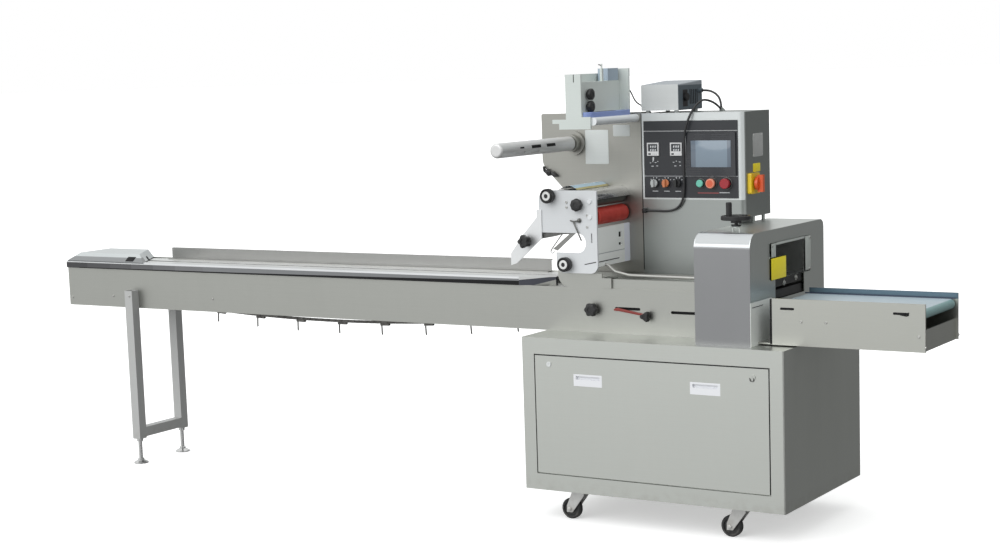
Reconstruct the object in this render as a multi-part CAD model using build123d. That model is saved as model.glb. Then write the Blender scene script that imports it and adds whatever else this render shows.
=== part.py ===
from build123d import *
import os

os.makedirs("parts", exist_ok=True)

# Millimetres. X runs with the product from the cabinet's left side, Y away from the operator
# from the cabinet's front, Z up from the floor.

# Base cabinet and its lift-off service panel
cab_w = 1000.0
cab_d = 670.0
cab_h = 545.0
cab_lift = 110.0
cab_sheet = 3.0
cab_edge_r = 6.0
panel_side = 50.0
panel_low = 58.0
panel_high = 58.0
panel_gap = 4.0
panel_tray = 12.0
panel_sink = 0.5
panel_sheet = 2.0
panel_flange = 18.0
pull_spread = 225.0
pull_shift = -10.0
pull_drop = 82.0
pull_w = 104.0
pull_h = 34.0
pull_rim = 5.0
pull_r = 8.0
catch_r = 9.0
catch_in = 60.0
catch_drop = 34.0
catch_proud = 2.0
catch_slot = 4.0

# Castors
castor_inset_x = 188.0
castor_inset_y = 65.0
castor_trail = 35.0
tread_r = 37.5
tread_w = 26.0
tread_edge = 5.0
rim_r = 27.5
rim_dish = 5.0
hub_r = 12.0
pad_w = 84.0
pad_d = 64.0
pad_t = 4.0
pad_r = 8.0
kingpin_r = 5.0
kingpin_head_r = 8.0
collar_r = 13.0
collar_h = 5.0
crown_w = 48.0
crown_t = 5.0
fork_t = 3.0
fork_gap = 5.0
fork_toe = 11.0
axle_r = 5.0
run_gap = 0.05
over = 1.0

# Product line from the infeed end to the seal housing
infeed_len = 2370.0
line_set = 180.0
line_w = 220.0
line_h = 160.0
plate_t = 8.0
end_t = 6.0
bed_rise = 26.0
bed_t = 4.0
slot_w = 24.0
rail_h = 30.0
rail_w = 42.0
rail_proud = 8.0
rail_nose = 7.0
rail_stop = 108.0
turn_len = 128.0
turn_in = 48.0
turn_t = 12.0
guide_h = 47.0
guide_t = 3.0
guide_foot = 30.0
guide_lip = 10.0
guide_start = 405.0
guide_stop = 98.0
hood_h = 31.0
hood_sheet = 3.0
hood_front = 435.0
hood_back = 292.0
hood_top_front = 380.0
hood_top_back = 262.0
hood_slope = 41.0
hood_gate_h = 14.0
adjust_slot_len = 100.0
adjust_slot_h = 10.0
adjust_slot_in = 282.0
adjust_slot_up = 90.0
seal_slot_in = 160.0
seal_slot_up = 84.0

# Pusher chain and its sprockets
chain_pitch = 15.875
sprocket_teeth = 22
links_per_pusher = 13
chain_half = 6.0
chain_w = 14.0
chain_plate = 2.75
chain_web = 3.0
chain_under_bed = 45.0
chain_left_in = 320.0
chain_right_in = 92.0
chain_sag = 56.0
pusher_t = 5.0
pusher_w = 10.0
pusher_len = 50.0
pusher_foot = 36.0
pusher_lead = 148.0
sprocket_w = 7.0
sprocket_shaft_r = 12.0
tooth_root = 4.0
tooth_tip = 2.6
tooth_wide = 4.8
tooth_narrow = 1.9

# Infeed legs and levelling feet
leg_inset = 374.0
leg_tube = 40.0
leg_wall = 2.5
leg_lift = 105.0
leg_lap = 75.0
leg_tie_up = 6.0
foot_r = 30.0
foot_h = 14.0
foot_rim = 4.7
foot_neck = 5.6
foot_taper = 2.8
foot_rod_r = 8.0
foot_nut_r = 13.0
foot_nut_h = 12.0

# Deck under the film tube
deck_t = 4.0
deck_slot = 10.0
strip_set = 271.0
strip_w = 46.0
strip_h = 33.0
strip_block = 39.0
strip_block_h = 36.0
cheek_hole = 13.0
cheek_set = 53.0
cheek_t = 4.0
cheek_r = 45.0
cheek_h = 51.0

# Film tower
tower_set = 413.0
tower_t = 12.0
tower_top = 1424.0
tower_left = -137.0
tower_neck = 52.0
tower_shoulder = 1235.0
shoulder_r = 60.0
neck_r = 150.0
tower_corner_r = 6.0
seam_x = 279.0
tower_return_w = 60.0
tower_return_d = 80.0
clip_x = -128.0
clip_z = 1192.0
clip_w = 62.0
clip_h = 40.0
clip_d = 24.0

# Film mandrel on its fixed spindle
mandrel_x = 3.0
mandrel_z = 1316.0
mandrel_r = 26.0
mandrel_len = 503.0
mandrel_dome = 9.0
mandrel_gap = 5.0
spindle_r = 12.5
spindle_len = 120.0
flange_r = 44.0
flange_t = 12.0
boss_r = 32.0
boss_t = 26.0
leaf_slot_len = 62.0
leaf_slot_w = 10.0
leaf_slot_deep = 4.0
leaf_slot_gap = 34.0
leaf_slot_in = 96.0

# Film feed unit
bracket_set = 170.0
bracket_t = 8.0
bracket_left = -14.0
bracket_right = 222.0
bracket_top = 1160.0
bracket_waist = 1009.0
bracket_low = 866.0
bracket_arm_top = 938.0
bracket_arm_left = 54.0
bite_end = 176.0
bracket_slot_in = 22.0
bracket_slot_w = 5.0
bracket_slot_h = 34.0
bracket_corner_r = 30.0
bracket_nose_r = 36.0
bracket_waist_r = 15.0
bracket_tip_r = 6.0
cross_t = 8.0
cross_low = 890.0
cross_top = 1028.0
cross_shelf = 94.0
cross_shelf_t = 6.0
cross_slot_in = 64.0
cross_slot_w = 8.0
cross_slot_h = 24.0
cross_slot_drop = 26.0
cross_hole_r = 5.0
cross_hole_drop = 72.0
film_guide_t = 3.0
film_guide_left = 58.0
film_guide_flat = 136.0
film_guide_r = 32.0
journal_r = 8.0
roller_front_gap = 12.0
roller_back_gap = 8.0
roller_edge = 2.0
feed_x = 195.0
feed_z = 1066.0
feed_r = 31.0
nip_r = 20.0
nip_gap = 5.0
guide_roll_r = 16.0
upper_x = 34.0
upper_z = 1141.0
lower_x = 97.0
lower_z = 898.0
ring_knob_r = 26.0
ring_knob_d = 24.0
ring_knob_eye = 8.0
ring_knob_face = 15.0
ring_knob_gap = 6.0
arm_t = 4.0
arm_lap = 12.0
arm_root = 8.0
arm_below = 50.0
arm_neck = 28.0
arm_w = 66.0
arm_knee = 152.0
arm_lean = 96.0
arm_drop = 93.0
arm_tip = 42.0
arm_tip_w = 25.0
strap_t = 3.0
strap_w = 18.0
strap_lean = 76.0
strap_cut = 6.0
strap_up = 12.0
hold_rod_r = 5.0
hold_rod_in = 42.0
hold_rod_bend = 22.0
hold_rod_flat = 10.0
hold_rod_knee = 40.0
hold_rod_far = 98.0
hold_rod_dip = 24.0
hold_rod_lift = 3.0

# End seal housing
seal_inset = 134.0
seal_w = 204.0
seal_set = 42.0
seal_h = 375.0
seal_sheet = 4.0
seal_front_r = 50.0
seal_back_r = 28.0
tunnel_in = 203.0
tunnel_w = 246.0
tunnel_sill = 135.0
tunnel_h = 187.0
guard_t = 4.0
guard_lap = 8.0
guard_nose = 41.0
guard_tail = 52.0
guard_drop = 118.0
jaw_w = 52.0
jaw_h = 30.0
jaw_gap = 10.0
jaw_side = 34.0
jaw_front = 5.0
jaw_back = 5.0
jaw_mid = 170.0
jaw_shaft_r = 12.0
jaw_land = 3.0

# Handwheel on the housing
wheel_in_x = 117.0
wheel_in_y = 86.0
wheel_r = 51.0
wheel_rim_h = 14.0
wheel_rim_t = 11.0
wheel_edge = 2.0
wheel_hub_r = 18.0
wheel_hub_h = 24.0
wheel_up = 30.0
wheel_post_r = 3.0
wheel_post_gap = 24.0
wheel_cup_r = 18.0
wheel_cup_low_r = 14.5
wheel_cup_h = 9.0
wheel_spindle_r = 6.0
crank_in = 26.0
crank_r = 10.0
crank_h = 44.0

# Outfeed conveyor
out_gap = 54.0
out_len = 525.0
out_set = 92.0
out_w = 322.0
out_lift = 5.0
out_h = 155.0
out_t = 6.0
out_floor_t = 5.0
out_end_in = 8.0
out_end_h = 70.0
out_slot_h = 8.0
out_slot_len = 50.0
out_slot_left = 29.0
out_slot_right = 57.0
out_slot_drop = 33.0
belt_drop = 20.0
belt_t = 3.0
belt_side = 6.0
belt_left_gap = 40.0
belt_right_in = 8.0
belt_roller_r = 14.0
belt_shaft_r = 8.0

# Control cabinet, its pedestal and its face
control_w = 403.0
control_d = 212.0
control_low = 1050.0
control_top = 1420.0
control_edge_r = 22.0
pedestal_gap = 7.0
pedestal_d = 120.0
post_r = 6.0
post_in = 14.0
post_a_in = 95.0
post_b_in = 180.0
face_side = 10.0
face_w = 368.0
face_low = 69.0
face_h = 273.0
face_t = 3.0
groove_w = 3.0
groove_d = 1.0
face_head = 36.0
face_foot = 77.0
face_split = 166.0
screen_w = 190.0
screen_h = 152.0
screen_t = 6.0
screen_gap = 4.0
screen_recess = 1.5
screen_side = 17.0
screen_chin = 30.0
screen_brow = 27.0
temp_size = 46.0
temp_t = 5.0
temp_rim = 4.0
temp_chin = 15.0
temp_a = 38.0
temp_b = 130.0
temp_up = 173.0
stem_r = 6.0
stem_depth = 16.0
stem_in = 6.0
stand_off = 9.0
control_up = 52.0
selector_r = 14.0
selector_t = 6.0
selector_grip = 26.0
selector_grip_w = 8.0
selector_grip_d = 16.0
start_r = 13.0
start_t = 8.0
stop_r = 17.0
stop_t = 10.0
emergency_r = 18.0
emergency_t = 14.0
control_edge = 2.0
control_at = {
    "selector_a": 43.0,
    "selector_b": 89.0,
    "selector_c": 134.0,
    "start_button": 225.0,
    "stop_button": 267.0,
    "e_stop": 324.0,
}

# Main switch on the control cabinet's side
switch_in = 58.0
switch_up = 118.0
switch_size = 72.0
switch_t = 14.0
switch_r = 6.0
switch_stub_r = 7.0
switch_gap = 5.0
switch_disc_r = 24.0
switch_disc_t = 11.0
switch_grip = 60.0
switch_grip_w = 16.0
switch_grip_d = 20.0

# Date coder and its controller
coder_x = 155.0
coder_w = 62.0
coder_d = 310.0
coder_gap = 13.0
coder_t = 8.0
coder_low = 1378.0
coder_foot = 42.0
coder_foot_left = 28.0
coder_foot_right = 35.0
coder_tab = 27.0
coder_tab_low = 20.0
coder_tab_h = 14.0
coder_floor = 58.0
coder_wall = 4.0
coder_top = 1567.0
coder_back_up = 15.0
coder_back_w = 88.0
coder_bar_x = 258.0
coder_bar_z = 1404.0
coder_bar_r = 14.0
head_h = 104.0
head_post = 152.0
head_post_t = 12.0
head_post_w = 8.0
head_post_up = 44.0
head_step = 12.0
motor_in = 10.0
motor_len = 76.0
motor_w = 40.0
motor_h = 44.0
hook_r = 3.0
hook_h = 16.0
box_x = 272.0
box_w = 149.0
box_in = 17.0
box_d = 190.0
box_h = 92.0
box_rise = 12.0
box_edge_r = 4.0
box_foot_r = 8.0
box_foot_h = 8.0
box_foot_in = 18.0
box_dial_in = 54.0
box_dial_r = 14.0
box_dial_h = 10.0

# Black hand knobs
knob_reach = 22.0
knob_edge = 3.0
end_knob_r = 24.0
end_knob_up = 95.0
bed_knob_x = 197.0
bed_knob_up = 84.0
bed_knob_r = 25.0
bed_knob_d = 34.0
lever_knob_x = 412.0
lever_knob_up = 68.0
lever_knob_r = 18.0
lever_knob_d = 30.0
arm_knob_in = 46.0
arm_knob_drop = 11.0
arm_knob_r = 24.0
arm_knob_d = 40.0
side_knob_x = 150.0
side_knob_z = 1110.0
side_knob_r = 23.0
side_knob_d = 24.0
coder_knob_r = 17.0
coder_knob_d = 20.0
coder_knob_in = 44.0
coder_knob_high = 117.0
coder_knob_low = 78.0

# Cables: diameter, gland sizes and the route of each, chosen by hand and measured in Y from the tower's face
cable_d = 8.0
coder_cable_d = 5.0
gland_r = 8.0
gland_len = 15.0
coder_gland_r = 5.0
coder_gland_len = 10.0
clip_block = 16.0
clip_reach = 17.0
front_run = [
    (529, 137, 1428), (516, 123, 1447), (501, 100, 1459), (493, 71, 1463), (494, 42, 1458),
    (491, 15, 1446), (484, -8, 1424), (472, -16, 1393), (461, -17, 1358), (455, -15, 1316),
    (452, -12, 1264), (450.5, -11, 1198), (450, -10, 1143), (443, -10, 1106), (421, -10, 1080),
    (384, -10, 1070), (340, -9, 1072), (298, -9, 1072),
]
loop_run = [
    (434, 183, 1494), (456, 182, 1494), (481, 178, 1487), (503, 171, 1473), (517, 163, 1452),
    (521, 158, 1428),
]
coder_run = [
    (226, -6, 1512), (227, 8, 1508), (229, 20, 1497), (232, 28, 1482), (238, 33, 1466), (248, 36, 1454),
    (261, 37, 1448),
]

# Planes that several pieces share
deck_z = cab_lift + cab_h
line_top = deck_z + line_h
line_y1 = line_set + line_w
mid_y = (line_set + line_y1) / 2
bed_top = line_top + bed_rise
rail_top = line_top + rail_h
rail_y0 = line_set - rail_proud
rail_y1 = rail_y0 + rail_w
x_left = -infeed_len
seal_x1 = cab_w - seal_inset
seal_x0 = seal_x1 - seal_w
seal_top = deck_z + seal_h
out_x0 = seal_x1 + out_gap
out_x1 = out_x0 + out_len
tower_y1 = tower_set + tower_t
coder_back = tower_set - coder_gap
coder_front = coder_back - coder_d
front_route = [(x, tower_set + y, z) for x, y, z in front_run]
loop_route = [(x, tower_set + y, z) for x, y, z in loop_run]
coder_route = [(x, tower_set + y, z) for x, y, z in coder_run]
mandrel_back = tower_set - flange_t - boss_t - mandrel_gap
mandrel_front = mandrel_back - mandrel_len
control_x1 = seam_x + control_w
bracket_y1 = bracket_set + bracket_t
nip_z = feed_z + feed_r + nip_r + nip_gap
axles = ((feed_x, feed_z), (feed_x, nip_z), (upper_x, upper_z), (lower_x, lower_z))
centre_x = (out_x1 + x_left - knob_reach) / 2
centre_y = (mandrel_front + cab_d) / 2


def block(x0, x1, y0, y1, z0, z1):
    return Pos((x0 + x1) / 2, (y0 + y1) / 2, (z0 + z1) / 2) * Box(x1 - x0, y1 - y0, z1 - z0)


def rod_x(y, z, r, x0, x1):
    return Pos((x0 + x1) / 2, y, z) * Rot(0, 90, 0) * Cylinder(r, x1 - x0)


def rod_y(x, z, r, y0, y1):
    return Pos(x, (y0 + y1) / 2, z) * Rot(90, 0, 0) * Cylinder(r, y1 - y0)


def rod_z(x, y, r, z0, z1):
    return Pos(x, y, (z0 + z1) / 2) * Cylinder(r, z1 - z0)


def knob_y(x, z, r, y0, y1):
    knob = rod_y(x, z, r, y0, y1)
    return chamfer(knob.edges().filter_by(GeomType.CIRCLE), knob_edge)


def knob_x(y, z, r, x0, x1):
    knob = rod_x(y, z, r, x0, x1)
    return chamfer(knob.edges().filter_by(GeomType.CIRCLE), knob_edge)


def sheet_xz(outline, y0, y1):
    return Pos(0, y0, 0) * extrude(Plane.XZ * make_face(outline), amount=y0 - y1)


def sheet_yz(points, x0, x1):
    face = make_face(Polyline(*points, close=True))
    return Pos(x0, 0, 0) * extrude(Plane.YZ * face, amount=x1 - x0)


def sheet_xy(points, z0, z1):
    face = make_face(Polyline(*points, close=True))
    return Pos(0, 0, z0) * extrude(face, amount=z1 - z0)


def turned(points):
    return revolve(Plane.XZ * make_face(Polyline(*points, close=True)), axis=Axis.Z)


def gland(end, inner, r, length):
    face = Plane(origin=end, z_dir=Vector(*end) - Vector(*inner))
    return face * Pos(0, 0, length / 2) * Cylinder(r, length)


def save(name, *shapes):
    moved = [Pos(-centre_x, -centre_y, 0) * shape for shape in shapes]
    solids = [one for shape in moved for one in shape.solids()]
    whole = solids[0] if len(solids) == 1 else Compound(children=solids)
    export_step(whole, "parts/" + name + ".step")


# Base cabinet: a folded sheet box with a framed front opening
open_x0 = panel_side
open_x1 = cab_w - panel_side
open_z0 = cab_lift + panel_low
open_z1 = deck_z - panel_high
frame_back = panel_tray + cab_sheet


def base_cabinet():
    s = cab_sheet
    f = panel_flange
    outer = block(0, cab_w, 0, cab_d, cab_lift, deck_z)
    outer = fillet(outer.edges().filter_by(Axis.Z), cab_edge_r)
    case = outer - block(s, cab_w - s, s, cab_d - s, cab_lift + s, deck_z - s)
    case = case + block(open_x0 - s, open_x1 + s, s, frame_back, open_z0 - s, open_z1 + s)
    case = case - block(open_x0, open_x1, -s, panel_tray, open_z0, open_z1)
    return case - block(open_x0 + f, open_x1 - f, 0, frame_back + s, open_z0 + f, open_z1 - f)


save("base_cabinet", base_cabinet())


# Service panel: a shallow tray with two pressed pulls and two turn catches
def service_panel():
    x0 = open_x0 + panel_gap
    x1 = open_x1 - panel_gap
    z0 = open_z0 + panel_gap
    z1 = open_z1 - panel_gap
    s = panel_sheet
    face = panel_sink
    tray = block(x0, x1, face, panel_tray, z0, z1)
    tray = tray - block(x0 + s, x1 - s, face + s, panel_tray + s, z0 + s, z1 - s)
    pull_z = open_z1 - pull_drop
    for side in (-1, 1):
        px = cab_w / 2 + pull_shift + side * pull_spread
        half = pull_w / 2
        cup = block(px - half, px + half, face, panel_tray - s / 2, pull_z - pull_h / 2, pull_z + pull_h / 2)
        tray = tray + fillet(cup.edges().filter_by(Axis.Y), pull_r)
        well = block(px - half, px + half, -s, panel_tray - s, pull_z - pull_h / 2, pull_z + pull_h / 2)
        well = fillet(well.edges().filter_by(Axis.Y), pull_r)
        lip = block(px - half, px + half, -s, panel_tray, pull_z - pull_h, pull_z - pull_rim)
        rim_x = half - pull_rim
        rim = block(px - rim_x, px + rim_x, -s, panel_tray, pull_z, pull_z + pull_h / 2 - pull_rim)
        tray = tray - (well & rim) + (lip & cup)
    for px in (open_x0 + catch_in, open_x1 - catch_in):
        cz = open_z1 - catch_drop
        tray = tray + rod_y(px, cz, catch_r, -catch_proud, face + s / 2)
        half = catch_slot / 2
        cut = catch_r / 2
        tray = tray - block(px - half, px + half, -catch_proud, -catch_proud / 2, cz - cut, cz + cut)
    return tray


save("service_panel", service_panel())

# Castors: fixed pads with kingpins, pressed forks and turned wheels
pad_z = cab_lift - pad_t
crown_z = pad_z - collar_h


def castor_pad(cx, cy):
    pad = block(cx - pad_w / 2, cx + pad_w / 2, cy - pad_d / 2, cy + pad_d / 2, pad_z, cab_lift)
    pad = fillet(pad.edges().filter_by(Axis.Z), pad_r)
    pin_low = crown_z - 2 * crown_t
    pad = pad + rod_z(cx, cy, collar_r, crown_z + run_gap, pad_z)
    pad = pad + rod_z(cx, cy, kingpin_r, pin_low, pad_z)
    return pad + rod_z(cx, cy, kingpin_head_r, pin_low, crown_z - crown_t - run_gap)


def castor_fork(cx, cy):
    half = tread_w / 2 + fork_gap
    wx = cx - castor_trail
    side = crown_w / 2
    leg = Polyline(
        (cx - side, crown_z), (cx + side, crown_z), (cx + side, crown_z - 2 * crown_t),
        (wx + fork_toe, tread_r - fork_toe), (wx - fork_toe, tread_r - fork_toe),
        (wx - fork_toe, tread_r + fork_toe), close=True,
    )
    fork = sheet_xz(leg, cy - half - fork_t, cy - half) + sheet_xz(leg, cy + half, cy + half + fork_t)
    wide = half + fork_t
    fork = fork + block(cx - side, cx + side, cy - wide, cy + wide, crown_z - crown_t, crown_z)
    fork = fork - rod_z(cx, cy, kingpin_r + run_gap, crown_z - 2 * crown_t, crown_z + crown_t)
    return fork + rod_y(wx, tread_r, axle_r, cy - half - 2 * fork_t, cy + half + 2 * fork_t)


def castor_wheel(cx, cy):
    h = tread_w / 2
    bore = axle_r + run_gap
    half_section = [
        (bore, -h), (hub_r, -h), (hub_r, rim_dish - h), (rim_r, rim_dish - h), (rim_r, -h),
        (tread_r - tread_edge, -h), (tread_r, tread_edge - h), (tread_r, h - tread_edge),
        (tread_r - tread_edge, h), (rim_r, h),
        (rim_r, h - rim_dish), (hub_r, h - rim_dish), (hub_r, h), (bore, h),
    ]
    return Pos(cx - castor_trail, cy, tread_r) * Rot(90, 0, 0) * turned(half_section)


pads = []
for key, right, rear in (("fl", 0, 0), ("fr", 1, 0), ("rl", 0, 1), ("rr", 1, 1)):
    cx = cab_w - castor_inset_x if right else castor_inset_x
    cy = cab_d - castor_inset_y if rear else castor_inset_y
    pads.append(castor_pad(cx, cy))
    save("castor_fork_" + key, castor_fork(cx, cy))
    save("castor_wheel_" + key, castor_wheel(cx, cy))
save("castor_plates", *pads)


# Line frame: two side plates joined by the end plate, with the adjuster slots of the deck part
def line_frame():
    frame = block(x_left, seal_x0, line_set, line_set + plate_t, deck_z, line_top)
    for x, up in ((adjust_slot_in, adjust_slot_up), (seal_x0 - seal_slot_in, seal_slot_up)):
        z = deck_z + up
        h = adjust_slot_h / 2
        cut = block(x, x + adjust_slot_len, line_set - plate_t, line_set + 2 * plate_t, z - h, z + h)
        frame = frame - fillet(cut.edges().filter_by(Axis.Y), 0.9 * h)
    frame = frame + block(x_left, seal_x0, line_y1 - plate_t, line_y1, deck_z, rail_top)
    return frame + block(x_left, x_left + end_t, line_set + plate_t, line_y1 - plate_t, deck_z, line_top)


save("line_frame", line_frame())

# Infeed slide bed in two runs with the chain slot between them, and the folded rail at its front
turn_points = [
    (-rail_stop, rail_y0), (turn_len - rail_stop, rail_y0 + turn_in),
    (turn_len - rail_stop, rail_y0 + turn_in + turn_t), (-rail_stop, rail_y1),
]
turned_end = sheet_xy(turn_points, line_top, rail_top)
bed_front = block(x_left + end_t, 0, rail_y1, mid_y - slot_w / 2, bed_top - bed_t, bed_top) - turned_end
bed_rear = block(x_left + end_t, 0, mid_y + slot_w / 2, line_y1 - plate_t, bed_top - bed_t, bed_top)
save("infeed_bed", bed_front, bed_rear)
nose = [
    (rail_y0, line_top), (rail_y0, rail_top - rail_nose), (rail_y0 + rail_nose, rail_top),
    (rail_y1, rail_top), (rail_y1, line_top),
]
save("front_rail", sheet_yz(nose, x_left, -rail_stop) + turned_end)

# Rear guide: an upright with a foot and a turned-back lip
gy = line_y1 - plate_t
guide_top = bed_top + guide_h
guide_points = [
    (gy - guide_foot, bed_top), (gy, bed_top), (gy, guide_top - guide_t),
    (gy + guide_lip, guide_top - guide_t), (gy + guide_lip, guide_top), (gy - guide_t, guide_top),
    (gy - guide_t, bed_top + guide_t), (gy - guide_foot, bed_top + guide_t),
]
save("rear_guide", sheet_yz(guide_points, x_left + guide_start, -guide_stop))


# End hood: a folded cover with sloped left and front faces and a slanted right end, open below
def hood_form(inset, z0, z1):
    f = rail_y0 + hood_sheet + inset
    b = line_y1 - hood_sheet - inset
    left = x_left + hood_sheet + inset
    rise = hood_slope
    low = [(left, f), (x_left + hood_front - inset, f), (x_left + hood_back - inset, b), (left, b)]
    high = [
        (left + rise, f + rise), (x_left + hood_top_front - inset, f + rise),
        (x_left + hood_top_back - inset, b - inset), (left + rise, b - inset),
    ]
    base = Pos(0, 0, z0) * make_face(Polyline(*low, close=True))
    roof = Pos(0, 0, z1) * make_face(Polyline(*high, close=True))
    return loft([base, roof])


hood = hood_form(0, rail_top, rail_top + hood_h)
hood = hood - hood_form(hood_sheet, rail_top, rail_top + hood_h - hood_sheet)
hood = hood - block(
    x_left + hood_back / 2, x_left + hood_front, mid_y - slot_w / 2, mid_y + slot_w / 2,
    rail_top, rail_top + hood_gate_h,
)
save("end_hood", hood)

# Pusher chain: one closed loop with a sagging return run, grooved inside for the sprocket teeth
sprocket_r = chain_pitch / 2 / Vector(1, 0).rotate(Axis.Z, 180 / sprocket_teeth).Y
chain_z = bed_top - chain_under_bed - sprocket_r
chain_x0 = x_left + chain_left_in
chain_x1 = -chain_right_in
chain_mid = (chain_x0 + chain_x1) / 2


def chain_outline(grow):
    r = sprocket_r + grow
    top = chain_z + r
    low = chain_z - r
    run = Line((chain_x0, top), (chain_x1, top))
    right = ThreePointArc((chain_x1, top), (chain_x1 + r, chain_z), (chain_x1, low))
    sag = ThreePointArc((chain_x1, low), (chain_mid, low - chain_sag), (chain_x0, low))
    left = ThreePointArc((chain_x0, low), (chain_x0 - r, chain_z), (chain_x0, top))
    return make_face(run + right + sag + left)


def chain_ring(low, high, width):
    ring = chain_outline(high) - chain_outline(low)
    return Pos(0, mid_y - width / 2, 0) * extrude(Plane.XZ * ring, amount=-width)


def chain_loop():
    loop = chain_ring(-chain_half, chain_half, chain_w)
    loop = loop - chain_ring(-chain_half, chain_half - chain_web, chain_w - 2 * chain_plate)
    step = chain_pitch * links_per_pusher
    half_span = (chain_x1 - chain_x0) / 2
    y0 = mid_y - pusher_w / 2
    y1 = mid_y + pusher_w / 2
    for i in range(int((chain_x1 - chain_x0 - 2 * sprocket_r) / step)):
        px = chain_x1 - step / 2 - i * step
        drop = chain_sag * (1 - ((px - chain_mid) / half_span) ** 2)
        out = chain_z - sprocket_r - drop - chain_half
        seat = out + chain_web / 2
        loop = loop + block(px - pusher_t / 2, px + pusher_t / 2, y0, y1, out - pusher_len + pusher_t, seat)
        loop = loop + block(px - pusher_t / 2, px + pusher_foot, y0, y1, out - pusher_t / 2, seat)
        ux = chain_x1 - pusher_lead - i * step
        top = chain_z + sprocket_r
        seat = top + chain_half - chain_web / 2
        loop = loop + block(ux - pusher_t / 2, ux + pusher_t / 2, y0, y1, seat, top + pusher_len)
    return loop


save("chain_loop", chain_loop())


# Sprockets: a root disc with pointed teeth that stand in the chain's groove, on cross shafts
def sprocket(cx):
    root = sprocket_r - tooth_root
    tip = sprocket_r + tooth_tip
    wheel = Cylinder(root, sprocket_w)
    foot = root - tooth_root
    tooth_points = [
        (foot, -tooth_wide), (root, -tooth_wide), (tip, -tooth_narrow),
        (tip, tooth_narrow), (root, tooth_wide), (foot, tooth_wide),
    ]
    tooth = sheet_xy(tooth_points, -sprocket_w / 2, sprocket_w / 2)
    teeth = [Rot(0, 0, i * 360 / sprocket_teeth) * tooth for i in range(sprocket_teeth)]
    wheel = wheel + teeth
    wheel = Pos(cx, mid_y, chain_z) * Rot(90, 0, 0) * wheel
    return wheel + rod_y(cx, chain_z, sprocket_shaft_r, line_set + plate_t, line_y1 - plate_t)


save("chain_sprockets", sprocket(chain_x0), sprocket(chain_x1))

# Infeed legs: square tubes outside the side plates, joined near the floor
leg_x = x_left + leg_inset
leg_half = leg_tube / 2


def leg_at(yc):
    top = deck_z + leg_lap
    inner = leg_half - leg_wall
    tube = block(leg_x - leg_half, leg_x + leg_half, yc - leg_half, yc + leg_half, leg_lift, top)
    low = leg_lift + 2 * leg_wall
    return tube - block(leg_x - inner, leg_x + inner, yc - inner, yc + inner, low, top + leg_wall)


tie_z = leg_lift + leg_tie_up
tie = block(leg_x - leg_half, leg_x + leg_half, line_set, line_y1, tie_z, tie_z + leg_tube)
save("leg_frame", leg_at(line_set - leg_half) + leg_at(line_y1 + leg_half) + tie)


def levelling_foot(yc):
    nut_z = leg_lift - foot_nut_h
    section = [
        (0, 0), (foot_r, 0), (foot_r, foot_rim), (foot_nut_r, foot_h), (foot_nut_r, foot_h + foot_neck),
        (foot_rod_r, foot_h + foot_neck + foot_taper), (foot_rod_r, nut_z), (foot_nut_r, nut_z),
        (foot_nut_r, leg_lift), (0, leg_lift),
    ]
    return Pos(leg_x, yc, 0) * turned(section)


save("levelling_feet", levelling_foot(line_set - leg_half), levelling_foot(line_y1 + leg_half))

# Deck under the film tube, with the cover strip and its end block, and the rounded former cheek
inner_y0 = line_set + plate_t
strip_y0 = line_set + plate_t / 2
deck = block(0, seal_x0, inner_y0, mid_y - deck_slot / 2, line_top - deck_t, line_top)
deck = deck + block(strip_set, seal_x0, strip_y0, strip_y0 + strip_w, line_top, line_top + strip_h)
block_x0 = strip_set - strip_block
block_y0 = line_set - plate_t / 2
deck = deck + block(block_x0, strip_set, block_y0, strip_y0 + strip_w, line_top, line_top + strip_block_h)
deck_rear = block(0, seal_x0, mid_y + deck_slot / 2, line_y1 - plate_t, line_top - deck_t, line_top)
save("bed_deck", deck, deck_rear)

cheek_x = cheek_set + cheek_r
cheek_y1 = line_set + cheek_t
cheek = block(cheek_x, block_x0, line_set, cheek_y1, line_top, line_top + cheek_h)
cheek = cheek + rod_y(cheek_x, line_top + cheek_r, cheek_r, line_set, cheek_y1)
cheek = cheek - rod_y(lower_x, lower_z, cheek_hole, line_set - cheek_t, cheek_y1 + cheek_t)
save("former_cheek", cheek)


# Tower plate with its swept shoulder, folded return, mandrel flange and spindle
def tower_plate():
    run = tower_neck - tower_left
    outline = FilletPolyline(
        (seam_x, deck_z), (tower_neck, deck_z), (tower_neck, tower_shoulder - run),
        (tower_left, tower_shoulder), (tower_left, tower_top), (seam_x, tower_top),
        radius=[0, 0, neck_r, shoulder_r, tower_corner_r, 0], close=True,
    )
    plate = sheet_xz(outline, tower_set, tower_y1)
    return_x = seam_x - tower_return_w
    plate = plate + block(return_x, seam_x, tower_y1, tower_set + tower_return_d, deck_z, tower_top)
    boss_y = tower_set - flange_t
    plate = plate + rod_y(mandrel_x, mandrel_z, flange_r, boss_y, tower_set)
    plate = plate + rod_y(mandrel_x, mandrel_z, boss_r, boss_y - boss_t, boss_y)
    plate = plate + rod_y(mandrel_x, mandrel_z, spindle_r, mandrel_back - spindle_len, boss_y - boss_t)
    for ax, az in axles:
        plate = plate - rod_y(ax, az, journal_r + run_gap, tower_set - tower_t, tower_y1 + tower_t)
    clip_y = tower_set - clip_d
    sensor = block(clip_x, clip_x + clip_w, clip_y, tower_set, clip_z, clip_z + clip_h)
    return plate, sensor


plate, sensor = tower_plate()
save("tower_plate", plate)


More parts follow.
